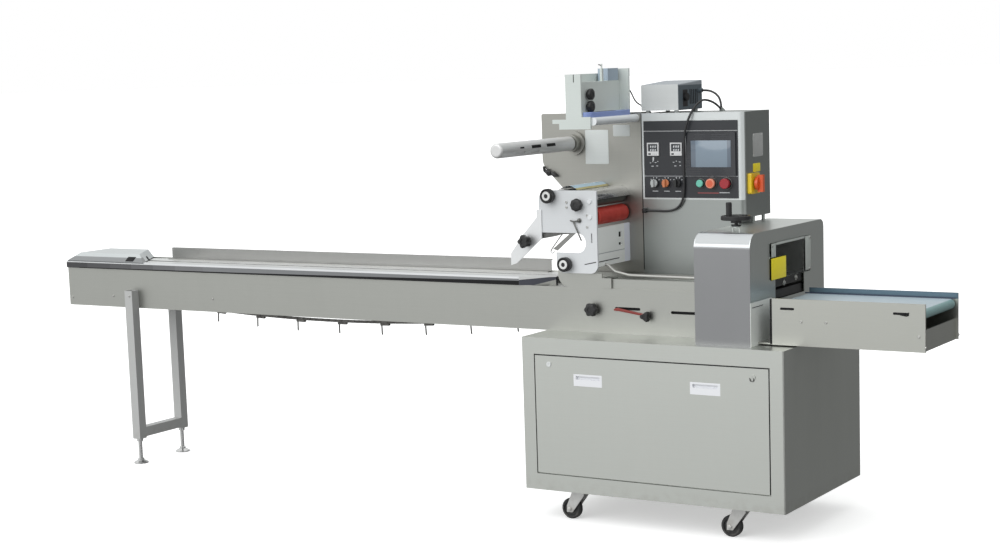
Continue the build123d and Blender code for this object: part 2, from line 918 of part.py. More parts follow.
# Film mandrel: a domed sleeve with sunk leaf slots on three sides, turning on the spindle
def film_mandrel():
    sleeve = rod_y(mandrel_x, mandrel_z, mandrel_r, mandrel_front, mandrel_back)
    sleeve = fillet(sleeve.edges().filter_by(GeomType.CIRCLE).sort_by(Axis.Y)[0], mandrel_dome)
    bore_y = mandrel_back - spindle_len - end_t
    sleeve = sleeve - rod_y(mandrel_x, mandrel_z, spindle_r + run_gap, bore_y, mandrel_back + end_t)
    turn_axis = Axis((mandrel_x, 0, mandrel_z), (0, 1, 0))
    for i in range(2):
        y0 = mandrel_front + leaf_slot_in + i * (leaf_slot_len + leaf_slot_gap)
        half = leaf_slot_w / 2
        deep = mandrel_z + mandrel_r - leaf_slot_deep
        y1 = y0 + leaf_slot_len
        slot = block(mandrel_x - half, mandrel_x + half, y0, y1, deep, mandrel_z + 2 * mandrel_r)
        for turn in (0, 120, 240):
            sleeve = sleeve - slot.rotate(turn_axis, turn)
    return sleeve


save("film_mandrel", film_mandrel())


# Feed bracket: an upright plate with a deep rounded bite and an arm to the former
def feed_bracket():
    r = bracket_corner_r
    bite_h = bracket_waist - bracket_arm_top
    outline = FilletPolyline(
        (bracket_left, bracket_top), (bracket_right, bracket_top), (bracket_right, bracket_low),
        (bracket_arm_left, bracket_low), (bracket_arm_left, bracket_arm_top), (bracket_left, bracket_waist),
        radius=[bracket_nose_r, bracket_tip_r, r, r, bracket_tip_r, bracket_waist_r], close=True,
    )
    plate = sheet_xz(outline, bracket_set, bracket_y1)
    y0 = bracket_set - bracket_t
    y1 = bracket_y1 + bracket_t
    bite_x = bite_end - bite_h / 2
    bite = block(bracket_left - r, bite_x, y0, y1, bracket_arm_top, bracket_waist)
    bite = bite + rod_y(bite_x, bracket_arm_top + bite_h / 2, bite_h / 2, y0, y1)
    plate = plate - bite
    slot_x = bracket_right - bracket_slot_in
    half = bracket_slot_w / 2
    plate = plate - block(slot_x - half, slot_x + half, y0, y1, bracket_waist - bracket_slot_h, bracket_waist)
    for ax, az in axles:
        plate = plate - rod_y(ax, az, journal_r + run_gap, y0, y1)
    return plate


save("feed_bracket", feed_bracket())


# Cross plate that carries the bracket from the tower, with its shelf, tall slot and round hole
def cross_plate():
    x0 = bracket_right - cross_t
    plate = block(x0, bracket_right, bracket_y1, tower_set, cross_low, cross_top)
    shelf_z = lower_z + journal_r
    plate = plate + block(x0 - cross_shelf, x0, bracket_y1, tower_set, shelf_z, shelf_z + cross_shelf_t)
    slot_y = tower_set - cross_slot_in
    half = cross_slot_w / 2
    slot_z = cross_top - cross_slot_drop
    cut_x0 = x0 - over
    cut_x1 = bracket_right + over
    plate = plate - block(cut_x0, cut_x1, slot_y - half, slot_y + half, slot_z - cross_slot_h, slot_z)
    return plate - rod_x(slot_y, cross_top - cross_hole_drop, cross_hole_r, cut_x0, cut_x1)


save("cross_plate", cross_plate())


# Film guide: a thin sheet over the rollers that bends down behind the nip
def film_guide():
    x1 = film_guide_left + film_guide_flat
    top = bracket_top
    r = film_guide_r
    t = film_guide_t
    outer = [Line((film_guide_left, top), (x1, top)), CenterArc((x1, top - r), r, 0, 90)]
    inner = [CenterArc((x1, top - r), r - t, 0, 90), Line((film_guide_left, top - t), (x1, top - t))]
    lead_in = Line((film_guide_left, top), (film_guide_left, top - t))
    tail = Line((x1 + r, top - r), (x1 + r - t, top - r))
    outline = outer[0] + outer[1] + tail + inner[0] + inner[1] + lead_in
    return sheet_xz(outline, bracket_y1, tower_set)


save("film_guide", film_guide())

# Rollers of the feed unit; the two guide rollers end in ring knobs
roll_y0 = bracket_y1 + roller_front_gap
roll_y1 = tower_set - roller_back_gap


def roller(x, z, r, front_y):
    barrel = rod_y(x, z, r, roll_y0, roll_y1)
    barrel = chamfer(barrel.edges().filter_by(GeomType.CIRCLE), roller_edge)
    return barrel + rod_y(x, z, journal_r, front_y, tower_y1)


def ring_knob(x, z):
    d = ring_knob_d
    e = knob_edge
    r = ring_knob_r
    section = [
        (0, e), (ring_knob_eye, e), (ring_knob_eye, 0), (ring_knob_face, 0), (ring_knob_face + e, e),
        (r - 2 * e, e), (r - e, 0), (r, e), (r, d - e), (r - e, d), (0, d),
    ]
    return Pos(x, bracket_set - ring_knob_gap - d, z) * Rot(-90, 0, 0) * turned(section)


stub_y = bracket_set - bracket_t / 2
knob_back = bracket_set - ring_knob_gap - roller_edge
save("feed_roller", roller(feed_x, feed_z, feed_r, stub_y))
save("nip_roller", roller(feed_x, nip_z, nip_r, stub_y))
save("upper_guide_roller", roller(upper_x, upper_z, guide_roll_r, knob_back) + ring_knob(upper_x, upper_z))
save("lower_guide_roller", roller(lower_x, lower_z, guide_roll_r, knob_back) + ring_knob(lower_x, lower_z))

# Guide arm beside the bracket, far strap and bent hold-down rod
arm_x = bracket_left + arm_lap
arm_top = upper_z - arm_below
arm_root_x = bracket_left - arm_root
arm_knee_z = upper_z - arm_knee
arm_tip_x = bracket_left - arm_lean
arm_tip_z = arm_knee_z - arm_drop
arm_line = Polyline(
    (arm_root_x, arm_top), (arm_x, arm_top), (arm_x, arm_knee_z), (arm_tip_x, arm_tip_z),
    (arm_tip_x - arm_tip_w, arm_tip_z - arm_root), (arm_tip_x - arm_tip_w, arm_tip_z + arm_tip - arm_root),
    (bracket_left - arm_w, arm_knee_z + arm_lap), (arm_root_x, arm_top - arm_neck), close=True,
)
arm = sheet_xz(arm_line, bracket_set - arm_t, bracket_set)
strap_x = bracket_arm_left - strap_w
strap_z = bracket_arm_top + strap_up
strap_z1 = bracket_waist + over
strap_line = Polyline(
    (strap_x, strap_z), (strap_x + strap_w, strap_z - strap_cut),
    (strap_x + strap_w + strap_lean, strap_z1 - strap_cut / 2), (strap_x + strap_lean, strap_z1), close=True,
)
strap = sheet_xz(strap_line, bracket_y1, bracket_y1 + strap_t)
rod_z0 = cross_low + hold_rod_r
rod_end = line_top + strip_block_h + hold_rod_r
rod_points = [
    (bracket_right, rod_z0), (bracket_right + hold_rod_flat, rod_z0),
    (bracket_right + hold_rod_knee, rod_z0 - hold_rod_dip),
    (bracket_right + hold_rod_far, rod_end + hold_rod_lift), (seal_x0, rod_end),
]
rod_path = Plane.XZ * FilletPolyline(*rod_points, radius=hold_rod_bend)
rod_start = Plane(origin=(bracket_right, 0, rod_z0), z_dir=(1, 0, 0))
rod = Pos(0, line_set + hold_rod_in, 0) * sweep(rod_start * Circle(hold_rod_r), path=rod_path)
save("guide_arms", arm, strap, rod)


# End seal housing: sheet wrapped over the top, side walls cut for the product tunnel
def housing_form(inset, low):
    x0 = seal_x0 + inset
    x1 = seal_x1 - inset
    y0 = seal_set + inset
    y1 = cab_d - inset
    top = seal_top - inset
    outline = FilletPolyline(
        (y0, low), (y0, top), (y1, top), (y1, low),
        radius=[0, seal_front_r - inset, seal_back_r - inset, 0], close=True,
    )
    return Pos(x0, 0, 0) * extrude(Plane.YZ * make_face(outline), amount=x1 - x0)


tunnel_y0 = seal_set + tunnel_in
tunnel_y1 = tunnel_y0 + tunnel_w
tunnel_z0 = deck_z + tunnel_sill
tunnel_z1 = tunnel_z0 + tunnel_h
wheel_x = seal_x0 + wheel_in_x
wheel_y = seal_set + wheel_in_y
cup_z = seal_top + wheel_up / 2
housing = housing_form(0, deck_z) - housing_form(seal_sheet, deck_z - seal_sheet)
housing = housing - block(seal_x0 - over, seal_x1 + over, tunnel_y0, tunnel_y1, tunnel_z0, tunnel_z1)
for side in (-1, 1):
    post_x = wheel_x + side * wheel_post_gap / 2
    housing = housing + rod_z(post_x, wheel_y, wheel_post_r, seal_top - over, cup_z + over)
cup = Pos(wheel_x, wheel_y, cup_z) * turned(
    [(0, 0), (wheel_cup_low_r, 0), (wheel_cup_r, wheel_cup_h), (0, wheel_cup_h)]
)
wheel_z = seal_top + wheel_up
spindle_top = wheel_z + wheel_hub_h - wheel_edge - 2 * run_gap
housing = housing + cup + rod_z(wheel_x, wheel_y, wheel_spindle_r, cup_z, spindle_top)
save("seal_housing", housing)

guard_z = tunnel_z1 - guard_drop
guard = block(
    seal_x1, seal_x1 + guard_t, tunnel_y0 - guard_nose, tunnel_y1 + guard_tail, guard_z, tunnel_z1 + guard_lap
)
save("seal_guard", guard)


# Sealing jaws: faced bars on cross shafts, with the pass line between them
def seal_jaw(z0, facing):
    x = seal_x1 - jaw_side
    z1 = z0 + jaw_h
    y0 = tunnel_y0 + jaw_front
    y1 = tunnel_y1 - jaw_back
    jaw = block(x - jaw_w / 2, x + jaw_w / 2, y0, y1, z0, z1)
    land = z1 if facing > 0 else z0 - jaw_land
    for groove_x in (x - jaw_w / 4, x + jaw_w / 4):
        low = land - jaw_land
        jaw = jaw - block(groove_x - jaw_land, groove_x + jaw_land, y0, y1, low, low + 3 * jaw_land)
    return jaw + rod_y(x, (z0 + z1) / 2, jaw_shaft_r, seal_set + seal_sheet, cab_d - seal_sheet)


jaw_line = deck_z + jaw_mid
save("seal_jaws", seal_jaw(jaw_line - jaw_gap / 2 - jaw_h, 1), seal_jaw(jaw_line + jaw_gap / 2, -1))


# Handwheel: a dished rim on three spokes with an upright crank
def handwheel():
    e = wheel_edge
    rim_z = wheel_hub_h - wheel_rim_h
    inner = wheel_r - wheel_rim_t
    rim = turned([
        (inner, rim_z), (wheel_r - e, rim_z), (wheel_r, rim_z + e), (wheel_r, wheel_hub_h - e),
        (wheel_r - e, wheel_hub_h), (inner, wheel_hub_h),
    ])
    hub = turned([(0, 0), (wheel_hub_r, 0), (wheel_hub_r, wheel_hub_h), (0, wheel_hub_h)])
    spoke = block(wheel_hub_r - e, inner + e, -crank_r / 2, crank_r / 2, rim_z, wheel_hub_h - e)
    wheel = rim + hub
    for turn in (60, 180, 300):
        wheel = wheel + Rot(0, 0, turn) * spoke
    crank = rod_z(-crank_in, 0, crank_r, wheel_hub_h - 2 * e, wheel_hub_h + crank_h)
    crank = chamfer(crank.edges().filter_by(GeomType.CIRCLE).sort_by(Axis.Z)[-1], e)
    wheel = Pos(wheel_x, wheel_y, wheel_z) * (wheel + crank)
    return wheel - rod_z(wheel_x, wheel_y, wheel_spindle_r + run_gap, wheel_z - over, spindle_top + run_gap)


save("handwheel", handwheel())

# Outfeed conveyor: side plates, floor with a turned-up end, belt and rollers
out_y1 = out_set + out_w
out_z0 = deck_z + out_lift
out_z1 = out_z0 + out_h
out_in0 = out_set + out_t
out_in1 = out_y1 - out_t
side_front = block(out_x0, out_x1, out_set, out_in0, out_z0, out_z1)
for x in (out_x0 + out_slot_left, out_x1 - out_slot_right - out_slot_len):
    z = out_z1 - out_slot_drop
    cut = block(x, x + out_slot_len, out_set - out_t, out_in0 + out_t, z - out_slot_h / 2, z + out_slot_h / 2)
    side_front = side_front - fillet(cut.edges().filter_by(Axis.Y), 0.45 * out_slot_h)
side_rear = block(out_x0, out_x1, out_in1, out_y1, out_z0, out_z1)
save("outfeed_sides", side_front, side_rear)
end_x = out_x1 - out_end_in
floor = block(seal_x1, end_x, out_in0, out_in1, out_z0, out_z0 + out_floor_t)
save("outfeed_floor", floor + block(end_x - out_t, end_x, out_in0, out_in1, out_z0, out_z0 + out_end_h))
belt_r = belt_roller_r + belt_t
belt_z = out_z1 - belt_drop - belt_r
belt_x0 = seal_x1 + belt_left_gap + belt_r
belt_x1 = out_x1 - belt_right_in - belt_r
belt_y0 = out_in0 + belt_side
belt_y1 = out_in1 - belt_side


def belt_outline(r):
    return Pos((belt_x0 + belt_x1) / 2, belt_z) * SlotCenterToCenter(belt_x1 - belt_x0, 2 * r)


band = belt_outline(belt_r) - belt_outline(belt_roller_r)
save("outfeed_belt", Pos(0, belt_y0, 0) * extrude(Plane.XZ * band, amount=belt_y0 - belt_y1))
drums = []
for x in (belt_x0, belt_x1):
    drum = rod_y(x, belt_z, belt_roller_r, belt_y0, belt_y1)
    drums.append(drum + rod_y(x, belt_z, belt_shaft_r, out_in0, out_in1))
save("outfeed_rollers", *drums)

# Control cabinet with a rounded front edge on its pedestal, steadied by posts on the housing
case_y1 = tower_set + control_d
control_z = control_low + face_low + control_up
control_x = {name: seam_x + face_side + at for name, at in control_at.items()}
case = block(seam_x, control_x1, tower_set, case_y1, control_low, control_top)
front_right = case.edges().filter_by(Axis.Z).sort_by(Axis.Y)[:2].sort_by(Axis.X)[-1]
case = fillet(front_right, control_edge_r)
case = case + block(seam_x, seal_x0 - pedestal_gap, tower_set, tower_set + pedestal_d, deck_z, control_low)
for inside in (post_a_in, post_b_in):
    case = case + rod_z(control_x1 - post_in, tower_set + inside, post_r, seal_top, control_low + over)
for x in control_x.values():
    case = case - rod_y(x, control_z, stem_r + run_gap, tower_set - over, tower_set + stem_depth)
case = case + gland(front_route[0], front_route[1], gland_r, gland_len)
case = case + gland(loop_route[-1], loop_route[-2], gland_r, gland_len)
save("control_cabinet", case)

# Control panel: a face plate with sunk dividing lines, bored for the stems
face_x0 = seam_x + face_side
face_x1 = face_x0 + face_w
face_z0 = control_low + face_low
face_z1 = face_z0 + face_h
face_y = tower_set - face_t
split_x = face_x0 + face_split
head_z = face_z1 - face_head
foot_z = face_z0 + face_foot
panel = block(face_x0, face_x1, face_y, tower_set, face_z0, face_z1)
half = groove_w / 2
groove_y = face_y + groove_d
for z in (head_z, foot_z):
    panel = panel - block(face_x0 + face_side, face_x1 - half, face_y - over, groove_y, z - half, z + half)
panel = panel - block(split_x - half, split_x + half, face_y - over, groove_y, foot_z, head_z)
for x in control_x.values():
    panel = panel - rod_y(x, control_z, stem_r + run_gap, face_y - over, tower_set + over)
save("control_panel", panel)

# Touch screen and temperature displays on the panel
screen_x0 = split_x + screen_gap + half
screen_z0 = foot_z + half
screen = block(screen_x0, screen_x0 + screen_w, face_y - screen_t, face_y, screen_z0, screen_z0 + screen_h)
screen_y = face_y - screen_t
screen = screen - block(
    screen_x0 + screen_side, screen_x0 + screen_w - screen_side, screen_y - over, screen_y + screen_recess,
    screen_z0 + screen_chin, screen_z0 + screen_h - screen_brow,
)
displays = [screen]
for at in (temp_a, temp_b):
    x = face_x0 + at - temp_size / 2
    z = face_z0 + temp_up - temp_size / 2
    unit = block(x, x + temp_size, face_y - temp_t, face_y, z, z + temp_size)
    r = temp_rim
    y = face_y - temp_t
    unit = unit - block(
        x + r, x + temp_size - r, y - over, y + screen_recess, z + temp_chin, z + temp_size - r
    )
    displays.append(unit)
save("panel_displays", *displays)


# Selectors and buttons on stems that run in the panel
def cap_on_stem(name, r, depth):
    x = control_x[name]
    back = face_y - stand_off
    cap = rod_y(x, control_z, r, back - depth, back)
    cap = chamfer(cap.edges().filter_by(GeomType.CIRCLE).sort_by(Axis.Y)[0], control_edge)
    return cap + rod_y(x, control_z, stem_r, back - over, tower_set + stem_in)


for name in ("selector_a", "selector_b", "selector_c"):
    x = control_x[name]
    y = face_y - stand_off - selector_t
    w = selector_grip_w / 2
    h = selector_grip / 2
    grip = block(x - w, x + w, y - selector_grip_d + selector_t, y + over, control_z - h, control_z + h)
    save(name, cap_on_stem(name, selector_r, selector_t) + grip)
save("start_button", cap_on_stem("start_button", start_r, start_t))
save("stop_button", cap_on_stem("stop_button", stop_r, stop_t))
save("e_stop", cap_on_stem("e_stop", emergency_r, emergency_t))

# Main switch: a square base and a turning grip on its stub
sw_y = tower_set + switch_in
sw_z = control_low + switch_up
sw_h = switch_size / 2
sw_x = control_x1 + switch_t
base = block(control_x1, sw_x, sw_y - sw_h, sw_y + sw_h, sw_z - sw_h, sw_z + sw_h)
base = fillet(base.edges().filter_by(Axis.X), switch_r)
disc_x = sw_x + switch_gap
stub_x = disc_x + switch_disc_t + switch_t / 4
save("switch_base", base + rod_x(sw_y, sw_z, switch_stub_r, sw_x - over, stub_x))
handle = rod_x(sw_y, sw_z, switch_disc_r, disc_x, disc_x + switch_disc_t)
grip_x = disc_x + switch_disc_t / 2
w = switch_grip_w / 2
h = switch_grip / 2
handle = handle + block(grip_x, grip_x + switch_grip_d, sw_y - w, sw_y + w, sw_z - h, sw_z + h)
handle = handle - rod_x(sw_y, sw_z, switch_stub_r + run_gap, disc_x - over, stub_x + run_gap)
save("switch_handle", handle)

# Date coder: a frame open to the right on a round bar, its head, and the controller on the cabinet
coder_x1 = coder_x + coder_w
coder_in0 = coder_front + coder_t
coder_in1 = coder_back - coder_t
floor_z = coder_low + coder_floor
save("coder_bar", rod_y(coder_bar_x, coder_bar_z, coder_bar_r, coder_in0, tower_set))


def coder_frame():
    foot_z1 = coder_low + coder_foot
    foot_x0 = coder_x - coder_foot_left
    foot_x1 = coder_x1 + coder_foot_right
    front = Polyline(
        (foot_x0, coder_low), (foot_x1, coder_low), (foot_x1, foot_z1), (coder_x1, foot_z1),
        (coder_x1, coder_top), (coder_x, coder_top), (coder_x, foot_z1 - coder_t),
        (foot_x0, foot_z1 - coder_t), close=True,
    )
    frame = sheet_xz(front, coder_front, coder_in0)
    tab_z = coder_low + coder_tab_low
    frame = frame + block(foot_x0 - coder_tab, foot_x0, coder_front, coder_in0, tab_z, tab_z + coder_tab_h)
    frame = frame + block(coder_x, coder_x1, coder_in0, coder_in1, floor_z - coder_t, floor_z)
    frame = frame + block(coder_x, coder_x + coder_wall, coder_in0, coder_in1, floor_z, coder_top)
    rear_top = coder_top + coder_back_up
    back = block(coder_x, coder_x + coder_back_w, coder_in1, coder_back, floor_z - coder_t, rear_top)
    return frame + back + gland(coder_route[0], coder_route[1], coder_gland_r, coder_gland_len)


save("coder_frame", coder_frame())
head_x0 = coder_x + coder_wall
head_z1 = floor_z + head_h
post_y = coder_in0 + head_post
head_x1 = coder_x1 - coder_wall
head = block(head_x0, head_x1, coder_in0, post_y + head_post_t, floor_z, head_z1)
head = head + block(head_x0, coder_x1 - head_step, post_y + head_post_t, coder_in1, floor_z, head_z1)
post_z = head_z1 + head_post_up
head = head + block(head_x1 - head_post_w, head_x1, post_y, post_y + head_post_t, head_z1, post_z)
head = head + rod_z(head_x1 - head_post_w / 2, post_y + head_post_t / 2, hook_r, post_z, post_z + hook_h)
motor_x = (head_x0 + head_x1 - motor_w) / 2
motor_y = coder_in1 - motor_in
head = head + block(motor_x, motor_x + motor_w, motor_y - motor_len, motor_y, head_z1, head_z1 + motor_h)
save("coder_head", head)

box_x1 = box_x + box_w
box_y0 = tower_set + box_in
box_y1 = box_y0 + box_d
box_z0 = control_top + box_foot_h
box_z1 = box_z0 + box_h
box_side = [(box_y0, box_z0), (box_y1, box_z0), (box_y1, box_z1 + box_rise), (box_y0, box_z1)]
controller = sheet_yz(box_side, box_x, box_x1)
long_edges = controller.edges().filter_by(Axis.X, reverse=True).filter_by(Axis.Z, reverse=True)
controller = fillet(long_edges, box_edge_r)
for x in (box_x + box_foot_in, box_x1 - box_foot_in):
    for y in (box_y0 + box_foot_in, box_y1 - box_foot_in):
        controller = controller + rod_z(x, y, box_foot_r, control_top, box_z0 + over)
dial_z = (box_z0 + box_z1) / 2
dial_y = box_y0 + box_dial_in
controller = controller + rod_x(dial_y, dial_z, box_dial_r, box_x1 - over, box_x1 + box_dial_h)
controller = controller + gland(loop_route[0], loop_route[1], gland_r, gland_len)
lead_gland = coder_gland_len + coder_gland_r
controller = controller + gland(coder_route[-1], coder_route[-2], coder_gland_r, lead_gland)
save("coder_controller", controller)

# Black knobs, the film sensor on the tower and the clip that takes the front cable
arm_knob_x = bracket_left - arm_knob_in
arm_knob_z = arm_knee_z - arm_knob_drop
arm_face = bracket_set - arm_t
clip_end = front_route[-1]
cable_clip = block(
    clip_end[0] - clip_block, clip_end[0], tower_set - clip_reach, tower_set,
    clip_end[2] - clip_block / 2, clip_end[2] + clip_block / 2,
)
knobs = [
    knob_x(mid_y, deck_z + end_knob_up, end_knob_r, x_left - knob_reach, x_left),
    knob_y(bed_knob_x, deck_z + bed_knob_up, bed_knob_r, line_set - bed_knob_d, line_set),
    knob_y(lever_knob_x, deck_z + lever_knob_up, lever_knob_r, line_set - lever_knob_d, line_set),
    knob_y(arm_knob_x, arm_knob_z, arm_knob_r, arm_face - arm_knob_d, arm_face),
    knob_y(side_knob_x, side_knob_z, side_knob_r, bracket_set - side_knob_d, bracket_set),
    sensor,
    cable_clip,
]
for up in (coder_knob_high, coder_knob_low):
    y = coder_in0 + coder_knob_in
    knobs.append(knob_x(y, coder_low + up, coder_knob_r, head_x1, head_x1 + coder_knob_d))
save("black_knobs", *knobs)


# Cables as tubes of straight runs joined by arcs as large as the runs allow
def cable(name, route, diameter):
    points = [Vector(*p) for p in route]
    runs = [b - a for a, b in zip(points, points[1:])]
    radii = []
    for a, b in zip(runs, runs[1:]):
        half_turn = a.get_angle(b) / 2
        tangent = Vector(1, 0).rotate(Axis.Z, half_turn)
        radii.append(0.45 * min(a.length, b.length) * tangent.X / tangent.Y)
    path = FilletPolyline(*points, radius=radii)
    start = Plane(origin=points[0], z_dir=runs[0])
    tube = sweep(start * Circle(diameter / 2), path=path)
    print(name, "length", round(path.length), "smallest bend", round(min(radii)), "volume",
          round(tube.volume), "against", round(path.length * 3.14159265 * diameter ** 2 / 4))
    save(name, tube)


cable("front_cable", front_route, cable_d)
cable("loop_cable", loop_route, cable_d)
cable("coder_cable", coder_route, coder_cable_d)
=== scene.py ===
"""Horizontal flow wrapper: finishes, fittings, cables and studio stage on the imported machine."""
import math

import bpy
from bpy.props import FloatProperty, FloatVectorProperty, PointerProperty
from mathutils import Euler, Matrix, Vector


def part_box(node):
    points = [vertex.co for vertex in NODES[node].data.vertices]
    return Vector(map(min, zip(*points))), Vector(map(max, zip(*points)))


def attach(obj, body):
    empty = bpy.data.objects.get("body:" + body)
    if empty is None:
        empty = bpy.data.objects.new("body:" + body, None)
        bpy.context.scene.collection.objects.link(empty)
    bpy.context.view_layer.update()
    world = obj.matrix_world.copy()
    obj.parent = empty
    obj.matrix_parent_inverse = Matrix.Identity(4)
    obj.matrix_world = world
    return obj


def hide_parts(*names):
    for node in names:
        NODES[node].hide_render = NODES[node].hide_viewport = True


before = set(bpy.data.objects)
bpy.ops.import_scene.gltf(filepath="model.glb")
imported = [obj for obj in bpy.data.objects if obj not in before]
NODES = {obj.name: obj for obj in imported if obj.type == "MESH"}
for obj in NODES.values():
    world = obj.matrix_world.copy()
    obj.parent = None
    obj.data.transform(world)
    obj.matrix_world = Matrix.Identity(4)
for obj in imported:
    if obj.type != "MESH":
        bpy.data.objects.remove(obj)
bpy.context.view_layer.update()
MM = 0.001
# The cabinet's front left corner is the place from which every piece is measured, in millimetres
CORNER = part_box("base_cabinet")[0]
FRONT, BACK, RIGHT, LEFT, UP = (0, -1, 0), (0, 1, 0), (1, 0, 0), (-1, 0, 0), (0, 0, 1)
# Faces of the machine that fittings stand on, in millimetres
LINE_END = -2370
LINE_FACE = 180
RAIL_FACE = 172
BRACKET_FACE = 170
TOWER_FACE = 413
PANEL_FACE = 409.7
CASE_SIDE = 682
CODER_SIDE = 213
CONTROLLER_SIDE = 421
GUARD_FACE = 870
OUTFEED_FACE = 92
OUTFEED_END = 1445

bl_info = {
    "name": "Flow wrapper dressing",
    "version": (1, 0, 0),
    "blender": (4, 5, 0),
    "location": "View3D > Sidebar > Flow wrapper",
    "description": "Finishes, fittings, cables and stage for a horizontal flow wrapper",
    "category": "Object",
}


def tint(label, text, default):
    return FloatVectorProperty(
        name=label, description=text, subtype="COLOR", size=3, min=0.0, max=1.0, default=default,
    )


def length(label, text, default):
    return FloatProperty(name=label, description=text, default=default, min=0.0, unit="LENGTH")


class FlowWrapperColours(bpy.types.PropertyGroup):
    """Colours of the machine's finishes."""
    cabinet: tint("Cabinet sheet", "Satin stainless of the base cabinet", (0.565, 0.58, 0.55))
    line: tint("Line sheet", "Satin stainless of the infeed line", (0.42, 0.425, 0.40))
    tower: tint("Tower sheet", "Warmer stainless of the film tower", (0.355, 0.353, 0.328))
    control: tint("Control case", "Stainless of the control cabinet", (0.34, 0.36, 0.35))
    housing: tint("Housing sheet", "Cool stainless of the end-seal housing", (0.62, 0.645, 0.62))
    outfeed: tint("Outfeed sheet", "Pale warm stainless of the outfeed", (0.49, 0.495, 0.46))
    paint: tint("White paint", "Paint of the film bracket", (0.70, 0.72, 0.74))
    coder: tint("Coder paint", "Pale green-white paint of the date coder", (0.64, 0.69, 0.665))
    face: tint("Control face", "Charcoal face of the control cabinet", (0.020, 0.022, 0.027))
    roller: tint("Feed roller", "Red silicone of the feed roller", (0.60, 0.055, 0.040))
    belt: tint("Outfeed belt", "Blue-green belt of the outfeed", (0.42, 0.50, 0.55))
    floor: tint("Floor", "Pale studio floor", (0.88, 0.88, 0.88))


class FlowWrapperSizes(bpy.types.PropertyGroup):
    """Sizes of the fittings that scene work adds."""
    bolt: length("Bolt", "Radius of a hexagon head", 0.0065)
    screw: length("Screw", "Radius of a socket screw", 0.0045)
    cable: length("Cable", "Diameter of the two thick cables", 0.008)
    coder_cable: length("Coder cable", "Diameter of the thin coder cable", 0.005)
    floor: length("Floor", "Side of the studio floor", 400.0)


# Places and modelling helpers

def at(x, y, z):
    return Vector((CORNER.x + x * MM, CORNER.y + y * MM, z * MM))


def facing(way):
    return Vector(way).to_track_quat("Z", "Y").to_euler()


def fresh():
    active = bpy.context.view_layer.objects.active
    if active and active.mode != "OBJECT":
        bpy.ops.object.mode_set(mode="OBJECT")
    bpy.ops.object.select_all(action="DESELECT")


def only(piece):
    fresh()
    piece.select_set(True)
    bpy.context.view_layer.objects.active = piece
    return piece


def settle(piece):
    only(piece)
    bpy.ops.object.transform_apply(location=True, rotation=True, scale=True)
    return piece


def soften(piece, width, segments=2, angle=30):
    only(piece)
    bevel = piece.modifiers.new("soft_edges", "BEVEL")
    bevel.width = width * MM
    bevel.segments = segments
    bevel.limit_method = "ANGLE"
    bevel.angle_limit = math.radians(angle)
    bpy.ops.object.modifier_apply(modifier=bevel.name)
    return piece


def slab(low, high, edge, segments=2):
    """A block between two corners with softened edges."""
    fresh()
    a, b = at(*low), at(*high)
    bpy.ops.mesh.primitive_cube_add(size=1.0, location=(a + b) / 2)
    piece = bpy.context.object
    piece.scale = b - a
    return soften(settle(piece), edge, segments)


def select_faces():
    bpy.ops.object.mode_set(mode="EDIT")
    bpy.ops.mesh.select_mode(type="FACE")
    bpy.ops.mesh.select_all(action="SELECT")


def close_shape():
    bpy.ops.mesh.select_all(action="SELECT")
    bpy.ops.mesh.normals_make_consistent(inside=False)
    bpy.ops.object.mode_set(mode="OBJECT")


def sheet(points, way, deep, edge=0.0, segments=2):
    """A flat plate with the given corners, drawn out along a direction."""
    fresh()
    bpy.ops.mesh.primitive_circle_add(vertices=len(points), radius=0.01, fill_type="NGON")
    piece = settle(bpy.context.object)
    for vertex, point in zip(piece.data.vertices, points):
        vertex.co = at(*point)
    select_faces()
    bpy.ops.mesh.extrude_region_move(TRANSFORM_OT_translate={"value": Vector(way).normalized() * deep * MM})
    close_shape()
    return soften(piece, edge, segments) if edge else piece


def plate(y, outline, deep, edge=0.0, way=FRONT):
    """A flat plate from an (x, z) outline on a plane that faces the front."""
    return sheet([(x, y, z) for x, z in outline], way, deep, edge)


def card(spot, low, high, corner, way, deep, edge=0.0):
    """A thin plate with rounded corners on a face of the machine."""
    points = []
    (u0, v0), (u1, v1) = low, high
    for u, v, start in ((u1, v1, 0), (u0, v1, 90), (u0, v0, 180), (u1, v0, 270)):
        cu = u - corner if u == u1 else u + corner
        cv = v - corner if v == v1 else v + corner
        for step in (0, 30, 60, 90):
            angle = math.radians(start + step)
            points.append(spot(cu + corner * math.cos(angle), cv + corner * math.sin(angle)))
    return sheet(points, way, deep, edge)


def front_card(y, low, high, corner):
    return card(lambda u, v: (u, y, v), low, high, corner, FRONT, 0.8, 0.2)


def side_card(x, low, high, corner, deep=0.8):
    return card(lambda u, v: (x, u, v), low, high, corner, RIGHT, deep, 0.2)


def turn(centre, way, stations, sides=20, lobes=0, dip=0.0):
    """A turned shape from (radius, distance) stations, with lobes round its rim if asked for."""
    fresh()
    way = Vector(way).normalized()
    base = at(*centre)
    radius, along = stations[0]
    spin = way.to_track_quat("Z", "Y")
    start = base + way * along * MM
    bpy.ops.mesh.primitive_circle_add(
        vertices=sides, radius=radius * MM, fill_type="NGON", location=start, rotation=spin.to_euler(),
    )
    piece = settle(bpy.context.object)
    if lobes:
        for vertex in piece.data.vertices:
            away = vertex.co - start
            local = spin.inverted() @ away
            wave = 0.5 - 0.5 * math.cos(lobes * math.atan2(local.y, local.x))
            vertex.co = start + away * (1.0 - dip * wave)
    select_faces()
    for (r0, d0), (r1, d1) in zip(stations, stations[1:]):
        bpy.ops.mesh.extrude_region_move(TRANSFORM_OT_translate={"value": way * (d1 - d0) * MM})
        if r1 != r0:
            bpy.ops.transform.resize(value=(r1 / r0,) * 3, center_override=base + way * d1 * MM)
    close_shape()
    return piece


